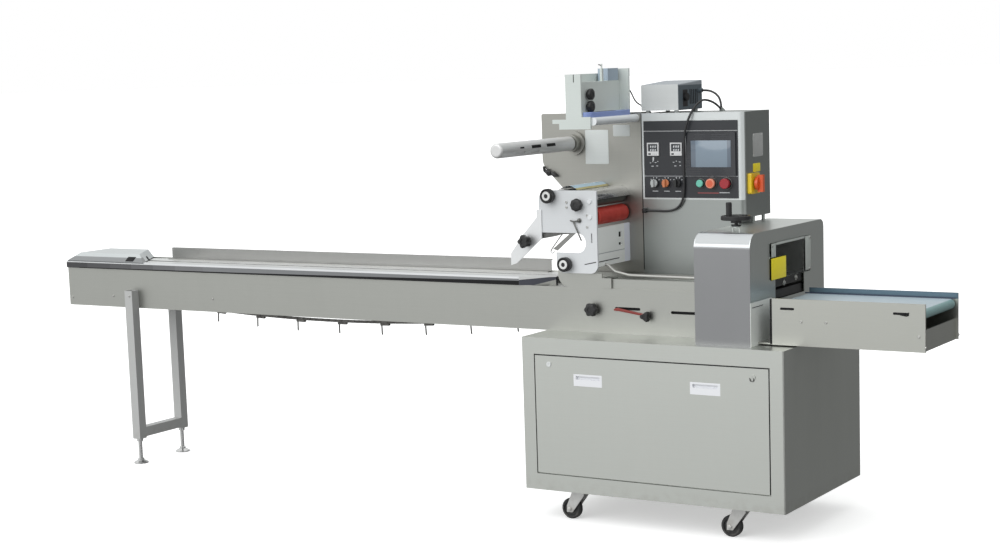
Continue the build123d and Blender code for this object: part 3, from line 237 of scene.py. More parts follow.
def ring(centre, way, radius, thick):
    """A round ring, a little flattened."""
    fresh()
    bpy.ops.mesh.primitive_torus_add(
        location=at(*centre), rotation=facing(way), major_radius=radius * MM, minor_radius=thick * MM,
        major_segments=32, minor_segments=10,
    )
    piece = bpy.context.object
    piece.scale = (1.0, 1.0, 0.8)
    return settle(piece)


def wire(name, places, radius, resolution, steps):
    """A round wire on one smooth spline along the given places."""
    curve = bpy.data.curves.new(name, "CURVE")
    curve.dimensions = "3D"
    curve.bevel_depth = radius
    curve.bevel_resolution = resolution
    curve.resolution_u = steps
    curve.use_fill_caps = True
    spline = curve.splines.new("NURBS")
    spline.points.add(len(places) - 1)
    for point, place in zip(spline.points, places):
        point.co = (*at(*place), 1.0)
    spline.order_u = 3
    spline.use_endpoint_u = True
    piece = bpy.data.objects.new(name, curve)
    bpy.context.scene.collection.objects.link(piece)
    return piece


def rod(points, radius):
    """A bent wire or bar of round section, made a mesh."""
    only(wire("rod", points, radius * MM, 2, 6))
    bpy.ops.object.convert(target="MESH")
    return bpy.context.object


def bent(y, path, radius):
    """A rod that is bent in a plane that faces the front, by its (x, z) places."""
    return rod([(x, y, z) for x, z in path], radius)


def join(pieces):
    fresh()
    for piece in pieces:
        piece.select_set(True)
    bpy.context.view_layer.objects.active = pieces[0]
    if len(pieces) > 1:
        bpy.ops.object.join()
    return bpy.context.object


def copies(model, places):
    """Copies of a model that was made round the corner, each turned and set down at its place."""
    model.location -= at(0, 0, 0)
    settle(model)
    made = []
    for centre, turned in places:
        only(model)
        bpy.ops.object.duplicate(linked=False)
        twin = bpy.context.object
        twin.rotation_euler = turned
        twin.location = at(*centre)
        made.append(twin)
    only(model)
    bpy.ops.object.delete()
    return settle(join(made))


def stand(model, places):
    return copies(model, [(place, facing(way)) for place, way in places])


def paint(piece, material):
    piece.data.materials.clear()
    piece.data.materials.append(material)


def fit(pieces, name, finish_name, body="machine", angle=35):
    """Joins the pieces into one, names and paints it and puts it on its body."""
    piece = settle(join(pieces))
    bpy.ops.object.shade_smooth_by_angle(angle=math.radians(angle))
    piece.name = name
    piece.data.name = name
    paint(piece, FINISHES[finish_name])
    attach(piece, body)
    return piece


# Shared surface effects

GROUPS = {}
FINISHES = {}
SHEET_STRETCH = (6.0, 300.0, 300.0)


def new_group(name, output, **inputs):
    """A node group with one value as its output; a tuple makes a vector input and a number a plain one."""
    tree = bpy.data.node_groups.new(name, "ShaderNodeTree")
    for label, value in inputs.items():
        kind = "NodeSocketVector" if isinstance(value, tuple) else "NodeSocketFloat"
        socket = tree.interface.new_socket(label, in_out="INPUT", socket_type=kind)
        socket.default_value = value
    tree.interface.new_socket(output, in_out="OUTPUT", socket_type="NodeSocketFloat")
    GROUPS[name] = tree
    return tree, tree.nodes.new("NodeGroupInput"), tree.nodes.new("NodeGroupOutput")


def node(tree, kind, **settings):
    made = tree.nodes.new("ShaderNode" + kind)
    for key, value in settings.items():
        setattr(made, key, value)
    return made


def preset(made, **values):
    """Sets a node's inputs; a low line in a key stands for a space in the input's name."""
    for key, value in values.items():
        made.inputs[key.replace("_", " ")].default_value = value
    return made


def maths(tree, operation, a, b):
    made = node(tree, "Math", operation=operation)
    for socket, value in zip(made.inputs, (a, b)):
        if isinstance(value, (int, float)):
            socket.default_value = value
        else:
            tree.links.new(value, socket)
    return made.outputs[0]


def vectors(tree, operation, a, b):
    made = node(tree, "VectorMath", operation=operation)
    tree.links.new(a, made.inputs[0])
    tree.links.new(b, made.inputs[1])
    return made.outputs[0]


def parts_of(tree, vector):
    made = node(tree, "SeparateXYZ")
    tree.links.new(vector, made.inputs[0])
    return made.outputs


def spread(tree, value, low, high, to_low=0.0, to_high=1.0):
    made = node(tree, "MapRange", interpolation_type="SMOOTHSTEP")
    tree.links.new(value, made.inputs["Value"])
    return preset(made, From_Min=low, From_Max=high, To_Min=to_low, To_Max=to_high).outputs["Result"]


def noise(tree, vector, detail, scale=1.0, roughness=0.5):
    made = preset(node(tree, "TexNoise"), Detail=detail, Scale=scale, Roughness=roughness)
    tree.links.new(vector, made.inputs["Vector"])
    return made


def object_place(tree):
    return node(tree, "TexCoord").outputs["Object"]


def sheet_grain_group():
    tree, given, out = new_group("sheet_grain", "Grain", Stretch=SHEET_STRETCH)
    stretched = vectors(tree, "MULTIPLY", object_place(tree), given.outputs["Stretch"])
    lines = noise(tree, stretched, 5.0, roughness=0.62)
    tree.links.new(spread(tree, lines.outputs["Fac"], 0.25, 0.75), out.inputs["Grain"])


def handling_group():
    tree, given, out = new_group("handling_marks", "Mask", Size=5.0, Streak=(9.0, 9.0, 1.2))
    place = object_place(tree)
    cloud = noise(tree, place, 6.0, roughness=0.55)
    tree.links.new(given.outputs["Size"], cloud.inputs["Scale"])
    streak = noise(tree, vectors(tree, "MULTIPLY", place, given.outputs["Streak"]), 3.0)
    soft = maths(tree, "MULTIPLY", spread(tree, cloud.outputs["Fac"], 0.36, 0.68), 0.65)
    run = maths(tree, "MULTIPLY", spread(tree, streak.outputs["Fac"], 0.38, 0.72), 0.35)
    tree.links.new(maths(tree, "ADD", soft, run), out.inputs["Mask"])


def floor_dust_group():
    tree, given, out = new_group("floor_dust", "Mask", Height=0.2)
    place = object_place(tree)
    rise = maths(tree, "DIVIDE", parts_of(tree, place)["Z"], given.outputs["Height"])
    fall = maths(tree, "MAXIMUM", maths(tree, "SUBTRACT", 1.0, rise), 0.0)
    grains = spread(tree, noise(tree, place, 7.0, 38.0).outputs["Fac"], 0.35, 0.75)
    tree.links.new(maths(tree, "MULTIPLY", fall, grains), out.inputs["Mask"])


def fine_skin_group():
    tree, given, out = new_group("fine_skin", "Height", Size=900.0)
    cells = node(tree, "TexVoronoi")
    tree.links.new(object_place(tree), cells.inputs["Vector"])
    tree.links.new(given.outputs["Size"], cells.inputs["Scale"])
    tree.links.new(cells.outputs["Distance"], out.inputs["Height"])


def zone_group():
    tree, given, out = new_group("zone", "Mask", Low=(0.0, 0.0, 0.0), High=(1.0, 1.0, 1.0))
    point = parts_of(tree, object_place(tree))
    low = parts_of(tree, given.outputs["Low"])
    high = parts_of(tree, given.outputs["High"])
    mask = 1.0
    for axis in "XYZ":
        above = maths(tree, "GREATER_THAN", point[axis], low[axis])
        below = maths(tree, "LESS_THAN", point[axis], high[axis])
        mask = maths(tree, "MULTIPLY", mask, maths(tree, "MULTIPLY", above, below))
    tree.links.new(mask, out.inputs["Mask"])


def ring_group():
    tree, given, out = new_group("ring_zone", "Mask", Centre=(0.0, 0.0, 0.0), Inner=0.0, Outer=1.0, Front=0.0)
    away = parts_of(tree, vectors(tree, "SUBTRACT", object_place(tree), given.outputs["Centre"]))
    squares = [maths(tree, "MULTIPLY", away[axis], away[axis]) for axis in "XZ"]
    radius = maths(tree, "POWER", maths(tree, "ADD", *squares), 0.5)
    inside = maths(tree, "LESS_THAN", radius, given.outputs["Outer"])
    outside = maths(tree, "GREATER_THAN", radius, given.outputs["Inner"])
    band = maths(tree, "MULTIPLY", inside, outside)
    near = maths(tree, "LESS_THAN", away["Y"], given.outputs["Front"])
    tree.links.new(maths(tree, "MULTIPLY", band, near), out.inputs["Mask"])


# Finishes

def group(tree, name, **values):
    made = node(tree, "Group")
    made.node_tree = GROUPS[name]
    return preset(made, **values).outputs[0]


def mix(tree, factor, a, b):
    made = node(tree, "Mix", data_type="RGBA")
    tree.links.new(factor, made.inputs["Factor"])
    for label, value in (("A", a), ("B", b)):
        socket = [s for s in made.inputs if s.name == label and s.type == "RGBA"][0]
        if isinstance(value, tuple):
            socket.default_value = (*value, 1.0)
        else:
            tree.links.new(value, socket)
    return [s for s in made.outputs if s.type == "RGBA"][0]


def finish(name, light, dark, metallic=0.0, rough=(0.35, 0.5), stretch=SHEET_STRETCH, size=5.0, grain=0.3,
           bump=0.05, skin=0.0, dust=0.0, dust_colour=(0.36, 0.34, 0.31), coat=0.0, specular=0.5):
    """A finish with grain, handling marks and, low down, dust; returns its material."""
    material = bpy.data.materials.new(name)
    material.use_nodes = True
    tree = material.node_tree
    tree.nodes.clear()
    shader = node(tree, "BsdfPrincipled", name="shader")
    tree.links.new(shader.outputs[0], node(tree, "OutputMaterial").inputs["Surface"])
    preset(shader, Metallic=metallic, Coat_Weight=coat, Specular_IOR_Level=specular)
    lines = group(tree, "sheet_grain", Stretch=stretch)
    marks = group(tree, "handling_marks", Size=size)
    worn = maths(tree, "MULTIPLY", marks, 1.0 - grain)
    both = maths(tree, "ADD", worn, maths(tree, "MULTIPLY", lines, grain))
    colour = mix(tree, both, light, dark)
    if dust:
        colour = mix(tree, group(tree, "floor_dust", Height=dust), colour, dust_colour)
    tree.links.new(colour, shader.inputs["Base Color"])
    tree.links.new(spread(tree, both, 0.1, 0.9, *rough), shader.inputs["Roughness"])
    relief = preset(node(tree, "Bump"), Strength=bump, Distance=0.0004)
    tree.links.new(group(tree, "fine_skin", Size=skin) if skin else lines, relief.inputs["Height"])
    tree.links.new(relief.outputs[0], shader.inputs["Normal"])
    FINISHES[name] = material
    return material


def over(name, mask, colour, metallic=None):
    """Lays a colour, and a metallic share if given, over part of a finish."""
    tree = FINISHES[name].node_tree
    shader = tree.nodes["shader"]
    socket = shader.inputs["Base Color"]
    tree.links.new(mix(tree, mask, socket.links[0].from_socket, colour), socket)
    if metallic is not None:
        socket = shader.inputs["Metallic"]
        old = socket.links[0].from_socket if socket.links else socket.default_value
        gap = maths(tree, "SUBTRACT", metallic, old)
        tree.links.new(maths(tree, "ADD", maths(tree, "MULTIPLY", mask, gap), old), socket)


def over_zone(name, low, high, colour, metallic=None):
    tree = FINISHES[name].node_tree
    over(name, group(tree, "zone", Low=at(*low), High=at(*high)), colour, metallic)


def over_ring(name, centre, inner, outer, front, colour):
    tree = FINISHES[name].node_tree
    mask = group(tree, "ring_zone", Centre=at(*centre), Inner=inner * MM, Outer=outer * MM, Front=front * MM)
    over(name, mask, colour)


def duller(colour, share):
    return tuple(value * share for value in colour)


# Grained finishes: light and dark shade, metallic share, roughness, stretch of the grain, size of the marks,
# share of the grain, relief
ALONG = (2, 320, 320)
GRAINED = {
    "bed_sheet": ((0.78, 0.785, 0.78), (0.72, 0.725, 0.72), 1, (0.34, 0.44), ALONG, 3, 0.3, 0.03),
    "guide_sheet": ((0.355, 0.355, 0.345), (0.325, 0.325, 0.315), 1, (0.32, 0.42), ALONG, 3, 0.3, 0.03),
    "rail_sheet": ((0.27, 0.275, 0.285), (0.245, 0.25, 0.26), 1, (0.28, 0.38), ALONG, 3, 0.3, 0.03),
    "hood_sheet": ((0.65, 0.68, 0.685), (0.60, 0.63, 0.635), 1, (0.34, 0.44), (4, 260, 260), 4, 0.25, 0.03),
    "plated": ((0.70, 0.70, 0.70), (0.60, 0.60, 0.60), 1, (0.18, 0.30), (60,) * 3, 14, 0.3, 0.03),
    "mandrel_satin": ((0.70, 0.70, 0.70), (0.65, 0.65, 0.65), 0.5, (0.36, 0.46), (90, 4, 90), 9, 0.35, 0.05),
    "arm_satin": ((0.80, 0.81, 0.82), (0.72, 0.73, 0.74), 0.6, (0.34, 0.44), (40,) * 3, 9, 0.3, 0.04),
    "bar_satin": ((0.80, 0.83, 0.85), (0.74, 0.77, 0.79), 0.2, (0.34, 0.44), (40, 4, 40), 9, 0.3, 0.04),
    "nip_rubber": ((0.075, 0.082, 0.072), (0.05, 0.055, 0.05), 0, (0.42, 0.58), (40, 5, 40), 16, 0.4, 0.1),
    "cable_sheath": ((0.020, 0.020, 0.022), (0.036, 0.036, 0.038), 0, (0.4, 0.55), (200,) * 3, 20, 0.3, 0.05),
    "chain_steel": ((0.18, 0.175, 0.165), (0.12, 0.115, 0.11), 0.6, (0.34, 0.5), (80,) * 3, 20, 0.3, 0.1),
    "bolt_steel": ((0.62, 0.62, 0.60), (0.48, 0.48, 0.46), 1, (0.22, 0.4), (120,) * 3, 40, 0.4, 0.08),
    "dark_steel": ((0.16, 0.16, 0.155), (0.11, 0.11, 0.105), 0.7, (0.34, 0.5), (120,) * 3, 40, 0.4, 0.08),
    "jaw_black": ((0.014, 0.014, 0.015), (0.026,) * 3, 0.2, (0.35, 0.5), (8, 200, 200), 12, 0.4, 0.1),
    "plate_silver": ((0.72, 0.73, 0.72), (0.58, 0.59, 0.58), 0.7, (0.28, 0.42), SHEET_STRETCH, 16, 0.3, 0.04),
    # Painted shade: the dark grey of the arched sheet
    "arch_grey": ((0.20, 0.20, 0.195), (0.15, 0.15, 0.145), 0.4, (0.38, 0.5), (10, 120, 10), 9, 0.3, 0.05),
    "film_print": ((0.86, 0.88, 0.88), (0.76, 0.79, 0.80), 0, (0.16, 0.3), (30, 12, 30), 24, 0.4, 0.15),
    "clear_guard": ((0.93, 0.97, 0.95), (0.90, 0.95, 0.92), 0, (0.02, 0.05), (3, 3, 40), 9, 0.4, 0.01),
}
# Paints, plastics and prints: light and dark shade, roughness, size of the marks, skin, relief, coat
MOULDED = {
    "cross_paint": ((0.88, 0.905, 0.89), (0.83, 0.855, 0.84), (0.34, 0.46), 5, 700, 0.05, 0),
    "display_bezel": ((0.026, 0.028, 0.034), (0.038, 0.040, 0.046), (0.22, 0.34), 12, 0, 0.02, 0),
    "knob_black": ((0.012, 0.012, 0.013), (0.022, 0.022, 0.023), (0.36, 0.55), 30, 900, 0.12, 0),
    "upper_ring": ((0.012, 0.012, 0.013), (0.02, 0.02, 0.021), (0.34, 0.5), 30, 900, 0.1, 0),
    "lower_ring": ((0.012, 0.012, 0.013), (0.02, 0.02, 0.021), (0.34, 0.5), 30, 900, 0.1, 0),
    "switch_yellow": ((0.80, 0.56, 0.010), (0.70, 0.47, 0.008), (0.3, 0.42), 20, 1200, 0.05, 0.15),
    "sticker_yellow": ((0.93, 0.78, 0.025), (0.86, 0.71, 0.022), (0.34, 0.46), 20, 1400, 0.03, 0),
    "orange_red": ((0.72, 0.10, 0.018), (0.60, 0.075, 0.014), (0.26, 0.4), 26, 1200, 0.05, 0.2),
    "stop_red": ((0.72, 0.13, 0.055), (0.62, 0.10, 0.04), (0.26, 0.4), 26, 1200, 0.05, 0.2),
    "button_green": ((0.16, 0.56, 0.44), (0.13, 0.48, 0.37), (0.24, 0.36), 30, 1200, 0.05, 0.3),
    "mushroom_red": ((0.36, 0.012, 0.022), (0.28, 0.01, 0.018), (0.24, 0.36), 30, 1200, 0.05, 0.3),
    "knob_grey": ((0.52, 0.55, 0.55), (0.44, 0.46, 0.47), (0.3, 0.42), 30, 1200, 0.05, 0),
    "knob_copper": ((0.66, 0.24, 0.10), (0.56, 0.19, 0.08), (0.3, 0.42), 30, 1200, 0.05, 0),
    "controller_case": ((0.62, 0.64, 0.64), (0.55, 0.57, 0.57), (0.4, 0.55), 9, 650, 0.06, 0),
    "lever_red": ((0.26, 0.030, 0.022), (0.18, 0.022, 0.017), (0.4, 0.55), 20, 900, 0.08, 0),
    "plate_white": ((0.68, 0.71, 0.70), (0.62, 0.65, 0.64), (0.42, 0.55), 7, 1600, 0.03, 0),
    "print_white": ((0.66, 0.68, 0.70), (0.54, 0.56, 0.58), (0.5, 0.6), 40, 1600, 0.02, 0),
    "print_red": ((0.46, 0.10, 0.10), (0.36, 0.08, 0.08), (0.5, 0.6), 40, 1600, 0.02, 0),
    "digit_dark": ((0.030, 0.034, 0.040), (0.045, 0.050, 0.058), (0.2, 0.3), 30, 0, 0.02, 0),
    "frost_strip": ((0.48, 0.51, 0.48), (0.43, 0.46, 0.43), (0.3, 0.42), 9, 0, 0.02, 0),
    "edge_blue": ((0.030, 0.045, 0.085), (0.045, 0.060, 0.10), (0.4, 0.55), 9, 0, 0.02, 0),
}
# Painted shade: the rail's face is darker to the left, in steps that start at these places
RAIL_PAINTED_SHADE = (
    (-2380, 0.095), (-2250, 0.12), (-2120, 0.145), (-2000, 0.175), (-1880, 0.205), (-1760, 0.235),
)
ROLLERS = ("red_silicone", "nip_rubber")
# Where a finish is lighter, darker or bare: low and high corner, colour and, if it differs, metallic share
ZONES = (
    ("outfeed_sheet", (900, 403, 795), (1450, 412.6, 820), (0.135, 0.20, 0.25)),
    # Painted highlight: pale patches in the service panel's two pull cups
    ("panel_sheet", (209, -6, 492), (321, 30, 534), (0.80, 0.81, 0.84), 0.0),
    ("panel_sheet", (659, -6, 492), (771, 30, 534), (0.80, 0.81, 0.84), 0.0),
    ("panel_sheet", (60, -6, 540), (130, 0.4, 590), (0.70, 0.72, 0.72), 0.2),
    # Painted shade: the inside of the seal housing is made near black
    ("housing_sheet", (664.5, 44.5, 650), (863.5, 667.5, 1027.5), (0.05, 0.055, 0.04), 0.0),
    # Painted shade on the housing's front face
    ("housing_sheet", (650, 38, 650), (880, 43.5, 985), (0.286, 0.289, 0.297)),
    # Painted shade on the housing's rounded top edge, between its lit top and its front
    ("housing_sheet", (650, 38, 985), (865.4, 110, 1031), (0.53, 0.55, 0.56)),
    # Painted light low on the housing's right side
    ("housing_sheet", (864.5, 38, 650), (872, 212, 802), (0.80, 0.83, 0.80), 0.1),
    ("housing_sheet", (740, 90, 1048), (830, 170, 1120), (0.012, 0.012, 0.013), 0.0),
    # Painted highlight: the control cabinet's front frame and rounded edge are made pale
    ("control_sheet", (279.5, 412, 1113), (678, 433, 1421.5), (0.66, 0.69, 0.69), 0.3),
    # Painted light: the rail's chamfer and top are much lighter than its face
    ("rail_sheet", (-2380, 150, 838.3), (30, 260, 850), (0.66, 0.67, 0.68)),
    *(
        ("rail_sheet", (left, 150, 810), (left + 150, 260, 838.3), (shade, shade, 1.04 * shade))
        for left, shade in RAIL_PAINTED_SHADE
    ),
    # Painted shade on the turned end of the rail
    ("rail_sheet", (-107.5, 150, 810), (30, 260, 843.5), (0.060, 0.063, 0.080), 0.2),
    # Painted shade on the hood's front slope, darker than its lit top
    ("hood_sheet", (-2400, 150, 840), (-1900, 230, 862), (0.305, 0.313, 0.32)),
    ("arm_satin", (20, 176, 940), (140, 184, 1014), (0.26, 0.26, 0.25), 0.6),
    ("arm_satin", (224, 150, 820), (700, 420, 960), (0.42, 0.42, 0.40), 0.5),
    ("cross_paint", (190, 372, 880), (240, 420, 1040), (0.80, 0.83, 0.92)),
    ("cross_paint", (190, 176, 934), (240, 372, 937), (0.40, 0.42, 0.44)),
    # Painted shade: a bluish shadow on the wall above the coder's head block
    ("coder_head_paint", (160, 300, 1541), (212, 390, 1590), (0.36, 0.44, 0.52)),
    ("charcoal_face", (280, 409.7, 1354.5), (670, 411.4, 1357.5), (0.42, 0.43, 0.44)),
    ("charcoal_face", (280, 409.7, 1194.5), (670, 411.4, 1197.5), (0.36, 0.37, 0.39)),
    ("charcoal_face", (453.5, 409.7, 1196), (456.5, 411.4, 1356), (0.42, 0.43, 0.44)),
    ("display_bezel", (300, 404, 1268), (445, 410, 1316), (0.72, 0.72, 0.73)),
    *((name, (150, 150, 1000), (240, 189.5, 1170), (0.76, 0.78, 0.80), 0.0) for name in ROLLERS),
    *((name, (150, 405.5, 1000), (240, 440, 1170), (0.62, 0.62, 0.60), 1.0) for name in ROLLERS),
    ("belt_weave", (1402, 100, 700), (1450, 406, 794), (0.20, 0.33, 0.33)),
    ("controller_case", (419.6, 400, 1400), (445, 640, 1545), (0.095, 0.120, 0.140)),
    ("controller_case", (270, 432.5, 1516), (422, 640, 1545), (0.30, 0.33, 0.36)),
    ("controller_case", (420.9, 465, 1440), (445, 503, 1500), (0.010, 0.010, 0.011)),
    ("film_print", (108, 150, 1150), (132, 430, 1200), (0.42, 0.60, 0.72)),
    ("film_print", (132, 150, 1150), (150, 430, 1200), (0.46, 0.40, 0.16)),
    ("screen_glass", (470, 400, 1220), (497, 410, 1330), (0.15, 0.185, 0.23)),
    ("screen_glass", (619, 400, 1220), (640, 410, 1330), (0.14, 0.175, 0.22)),
)


def sheet_finishes(colours):
    brushed = {"size": 1.6, "grain": 0.25, "bump": 0.03}
    for name, shade, rough in (
        ("cabinet_sheet", colours.cabinet, (0.36, 0.46)), ("line_sheet", colours.line, (0.38, 0.48)),
        ("tower_sheet", colours.tower, (0.38, 0.48)), ("housing_sheet", colours.housing, (0.32, 0.42)),
        ("outfeed_sheet", colours.outfeed, (0.36, 0.46)), ("control_sheet", colours.control, (0.38, 0.48)),
    ):
        finish(name, tuple(shade), duller(shade, 0.93), 1.0, rough, dust=0.16, **brushed)
    finish("panel_sheet", tuple(colours.cabinet), duller(colours.cabinet, 0.94), 1.0, (0.36, 0.46), **brushed)
    finish("leg_sheet", (0.52, 0.525, 0.52), (0.48, 0.485, 0.48), 0.3, (0.36, 0.46), dust=0.16, **brushed)


def painted_finishes(colours):
    white, pale = tuple(colours.paint), tuple(colours.coder)
    finish("white_paint", white, duller(white, 0.93), 0.0, (0.34, 0.46), skin=700.0)
    for name in ("coder_paint", "coder_head_paint"):
        finish(name, pale, duller(pale, 0.94), 0.0, (0.36, 0.48), skin=700.0)
    finish("charcoal_face", tuple(colours.face), (0.028, 0.030, 0.036), 0.0, (0.42, 0.55),
           size=9.0, skin=1500.0, bump=0.08)


def rolling_finishes(colours):
    finish("red_silicone", tuple(colours.roller), (0.40, 0.035, 0.025), *GRAINED["nip_rubber"][2:])
    belt = tuple(colours.belt)
    finish("belt_weave", belt, duller(belt, 0.88), 0.0, (0.34, 0.46), (30, 500, 30), 8.0, 0.35, 0.15)
    finish("tread_black", (0.016, 0.016, 0.018), (0.030, 0.030, 0.031), 0.0, (0.5, 0.7), (60, 60, 60),
           24.0, 0.3, 0.15, dust=0.05, dust_colour=(0.12, 0.115, 0.105))
    finish("zinc_press", (0.62, 0.62, 0.61), (0.52, 0.52, 0.51), 0.5, (0.36, 0.48), (70, 70, 70),
           18.0, 0.4, 0.08, dust=0.10)


def small_finishes():
    finish("gap_black", (0.010, 0.010, 0.011), (0.016, 0.016, 0.017), 0.0, (0.6, 0.75),
           size=12.0, skin=900.0, specular=0.2)
    finish("tray_blue", (0.24, 0.32, 0.62), (0.18, 0.25, 0.52), 0.0, (0.30, 0.42), (30, 6, 30),
           9.0, 0.3, 0.06, coat=0.2)
    finish("screen_glass", (0.235, 0.295, 0.36), (0.205, 0.265, 0.325), 0.0, (0.10, 0.18), (2, 2, 2),
           5.0, 0.4, 0.005, coat=0.4)
    preset(FINISHES["clear_guard"].node_tree.nodes["shader"], Transmission_Weight=1.0, IOR=1.06)


def ring_faces():
    """The pale rings on the roller knobs and the stop button, and the bare rollers behind the knobs."""
    over_ring("stop_red", (556, 400, 1171), 12.5, 30.0, 20.0, (0.80, 0.28, 0.18))
    for name, x, z in (("upper_ring", 34, 1141), ("lower_ring", 97, 898)):
        over_ring(name, (x, 140, z), 7.6, 16.5, 2.5, (0.76, 0.77, 0.76))
        over_zone(name, (x - 40, 165, z - 40), (x + 40, 440, z + 40), (0.66, 0.66, 0.65), 1.0)


def make_finishes(colours):
    for effect in (
        sheet_grain_group, handling_group, floor_dust_group, fine_skin_group, zone_group, ring_group,
    ):
        effect()
    for name, values in GRAINED.items():
        finish(name, *values)
    for name, (light, dark, rough, size, skin, bump, coat) in MOULDED.items():
        finish(name, light, dark, 0.0, rough, size=size, skin=skin, bump=bump, coat=coat)
    sheet_finishes(colours)
    painted_finishes(colours)
    rolling_finishes(colours)
    small_finishes()
    for name, *zone in ZONES:
        over_zone(name, *zone)
    ring_faces()


CORNERS = ("fl", "fr", "rl", "rr")
NODE_FINISH = {
    "cabinet_sheet": ["base_cabinet"], "panel_sheet": ["service_panel"],
    "line_sheet": ["line_frame", "bed_deck", "former_cheek"], "leg_sheet": ["leg_frame"],
    "tower_sheet": ["tower_plate"], "control_sheet": ["control_cabinet"], "housing_sheet": ["seal_housing"],
    "outfeed_sheet": ["outfeed_sides", "outfeed_floor"], "bed_sheet": ["infeed_bed"],
    "guide_sheet": ["rear_guide"], "rail_sheet": ["front_rail"], "hood_sheet": ["end_hood"],
    "bar_satin": ["coder_bar"],
    "plated": ["levelling_feet", "film_guide", "outfeed_rollers", "chain_sprockets"],
    "mandrel_satin": ["film_mandrel"], "arm_satin": ["guide_arms"], "white_paint": ["feed_bracket"],
    "cross_paint": ["cross_plate"], "coder_paint": ["coder_frame"], "coder_head_paint": ["coder_head"],
    "charcoal_face": ["control_panel"], "display_bezel": ["panel_displays"],
    "knob_black": ["handwheel", "selector_c"], "red_silicone": ["feed_roller"], "nip_rubber": ["nip_roller"],
    "belt_weave": ["outfeed_belt"], "switch_yellow": ["switch_base"], "orange_red": ["switch_handle"],
    "stop_red": ["stop_button"], "button_green": ["start_button"], "mushroom_red": ["e_stop"],
    "knob_grey": ["selector_a"], "knob_copper": ["selector_b"], "controller_case": ["coder_controller"],
    "jaw_black": ["seal_jaws"], "clear_guard": ["seal_guard"], "upper_ring": ["upper_guide_roller"],
    "lower_ring": ["lower_guide_roller"], "tread_black": ["castor_wheel_" + key for key in CORNERS],
    "zinc_press": ["castor_plates"] + ["castor_fork_" + key for key in CORNERS],
}


class FLOWWRAPPER_OT_finishes(bpy.types.Operator):
    """Finishes on the machine's own solids"""
    bl_idname = "flowwrapper.finishes"
    bl_label = "Finishes of the machine"

    def execute(self, context):
        for name, nodes in NODE_FINISH.items():
            for key in nodes:
                for place in NODES[key].material_slots:
                    place.material = FINISHES[name]
        return {"FINISHED"}


# Stage: the lights' strength and direction, the bright side of the air, and the camera as it was fitted to the
# photograph, in metres, degrees and millimetres of lens
LIGHTS = (("key_light", 1.25, (0.30, 0.80, -0.55)), ("side_light", 0.55, (-0.90, 0.30, -0.30)))
LIGHT_SPREAD = math.radians(60)
BRIGHT_SIDE = (-0.88, -0.30, 0.36)
CAMERA_PLACE = (3.9299, -5.8711, 1.6008)
CAMERA_TURN, CAMERA_PITCH, CAMERA_ROLL = 32.308, 7.784, 1.876
CAMERA_LENS, CAMERA_SENSOR, CAMERA_SHIFT = 67.77, 36.0, 0.052


def lay_floor(side, shade):
    fresh()
    bpy.ops.mesh.primitive_plane_add(size=side, location=(0.0, 0.0, 0.0))
    floor = settle(bpy.context.object)
    floor.name = "studio_floor"
    ground = finish("floor_paint", shade, duller(shade, 0.99), 0.0, (0.7, 0.8),
                    size=0.8, bump=0.0, specular=0.0)
    preset(ground.node_tree.nodes["shader"], Emission_Color=(1.0, 1.0, 1.0, 1.0), Emission_Strength=0.42)
    paint(floor, ground)
    floor.visible_diffuse = False
    floor.visible_glossy = False


def hang_lights():
    for name, energy, way in LIGHTS:
        bpy.ops.object.light_add(type="SUN", location=Vector(way) * -5.0)
        lamp = bpy.context.object
        lamp.name = name
        lamp.data.energy = energy
        lamp.data.angle = LIGHT_SPREAD
        lamp.rotation_euler = Vector(way).to_track_quat("-Z", "Y").to_euler()


def studio_air():
    """Air that is brighter to the left and above, and plain white where the camera sees it."""
    world = bpy.data.worlds.new("studio_air")
    world.use_nodes = True
    air = world.node_tree
    air.nodes.clear()
    way = node(air, "TexCoord").outputs["Generated"]
    height = parts_of(air, way)["Z"]
    side = node(air, "VectorMath", operation="DOT_PRODUCT")
    air.links.new(way, side.inputs[0])
    side.inputs[1].default_value = BRIGHT_SIDE
    glow = spread(air, side.outputs["Value"], -0.70, 0.50, 0.22, 0.78)
    glow = maths(air, "ADD", glow, maths(air, "MULTIPLY", maths(air, "MAXIMUM", height, 0.0), 0.34))
    glow = maths(air, "MULTIPLY", glow, spread(air, height, -0.70, -0.16, 0.50, 1.0))
    soft = preset(node(air, "Background"), Color=(0.985, 1.0, 0.995, 1.0))
    air.links.new(glow, soft.inputs["Strength"])
    plain = preset(node(air, "Background"), Color=(1.0, 1.0, 1.0, 1.0))
    choice = node(air, "MixShader")
    air.links.new(node(air, "LightPath").outputs["Is Camera Ray"], choice.inputs[0])
    air.links.new(soft.outputs[0], choice.inputs[1])
    air.links.new(plain.outputs[0], choice.inputs[2])
    air.links.new(choice.outputs[0], node(air, "OutputWorld").inputs["Surface"])
    return world


def photo_camera():
    heading, pitch, roll = [math.radians(angle) for angle in (CAMERA_TURN, CAMERA_PITCH, CAMERA_ROLL)]
    flat = math.cos(pitch)
    ahead = Vector((-math.sin(heading) * flat, math.cos(heading) * flat, -math.sin(pitch)))
    right = Vector((math.cos(heading), math.sin(heading), 0.0))
    down = ahead.cross(right)
    level = math.cos(roll) * right + math.sin(roll) * down
    drop = -math.sin(roll) * right + math.cos(roll) * down
    bpy.ops.object.camera_add()
    camera = bpy.context.object
    camera.name = "photo_camera"
    camera.data.sensor_width = CAMERA_SENSOR
    camera.data.lens = CAMERA_LENS
    camera.data.shift_y = CAMERA_SHIFT
    camera.data.clip_end = 500.0
    turned = Matrix((level, -drop, -ahead)).transposed().to_4x4()
    camera.matrix_world = Matrix.Translation(CAMERA_PLACE) @ turned
    return camera


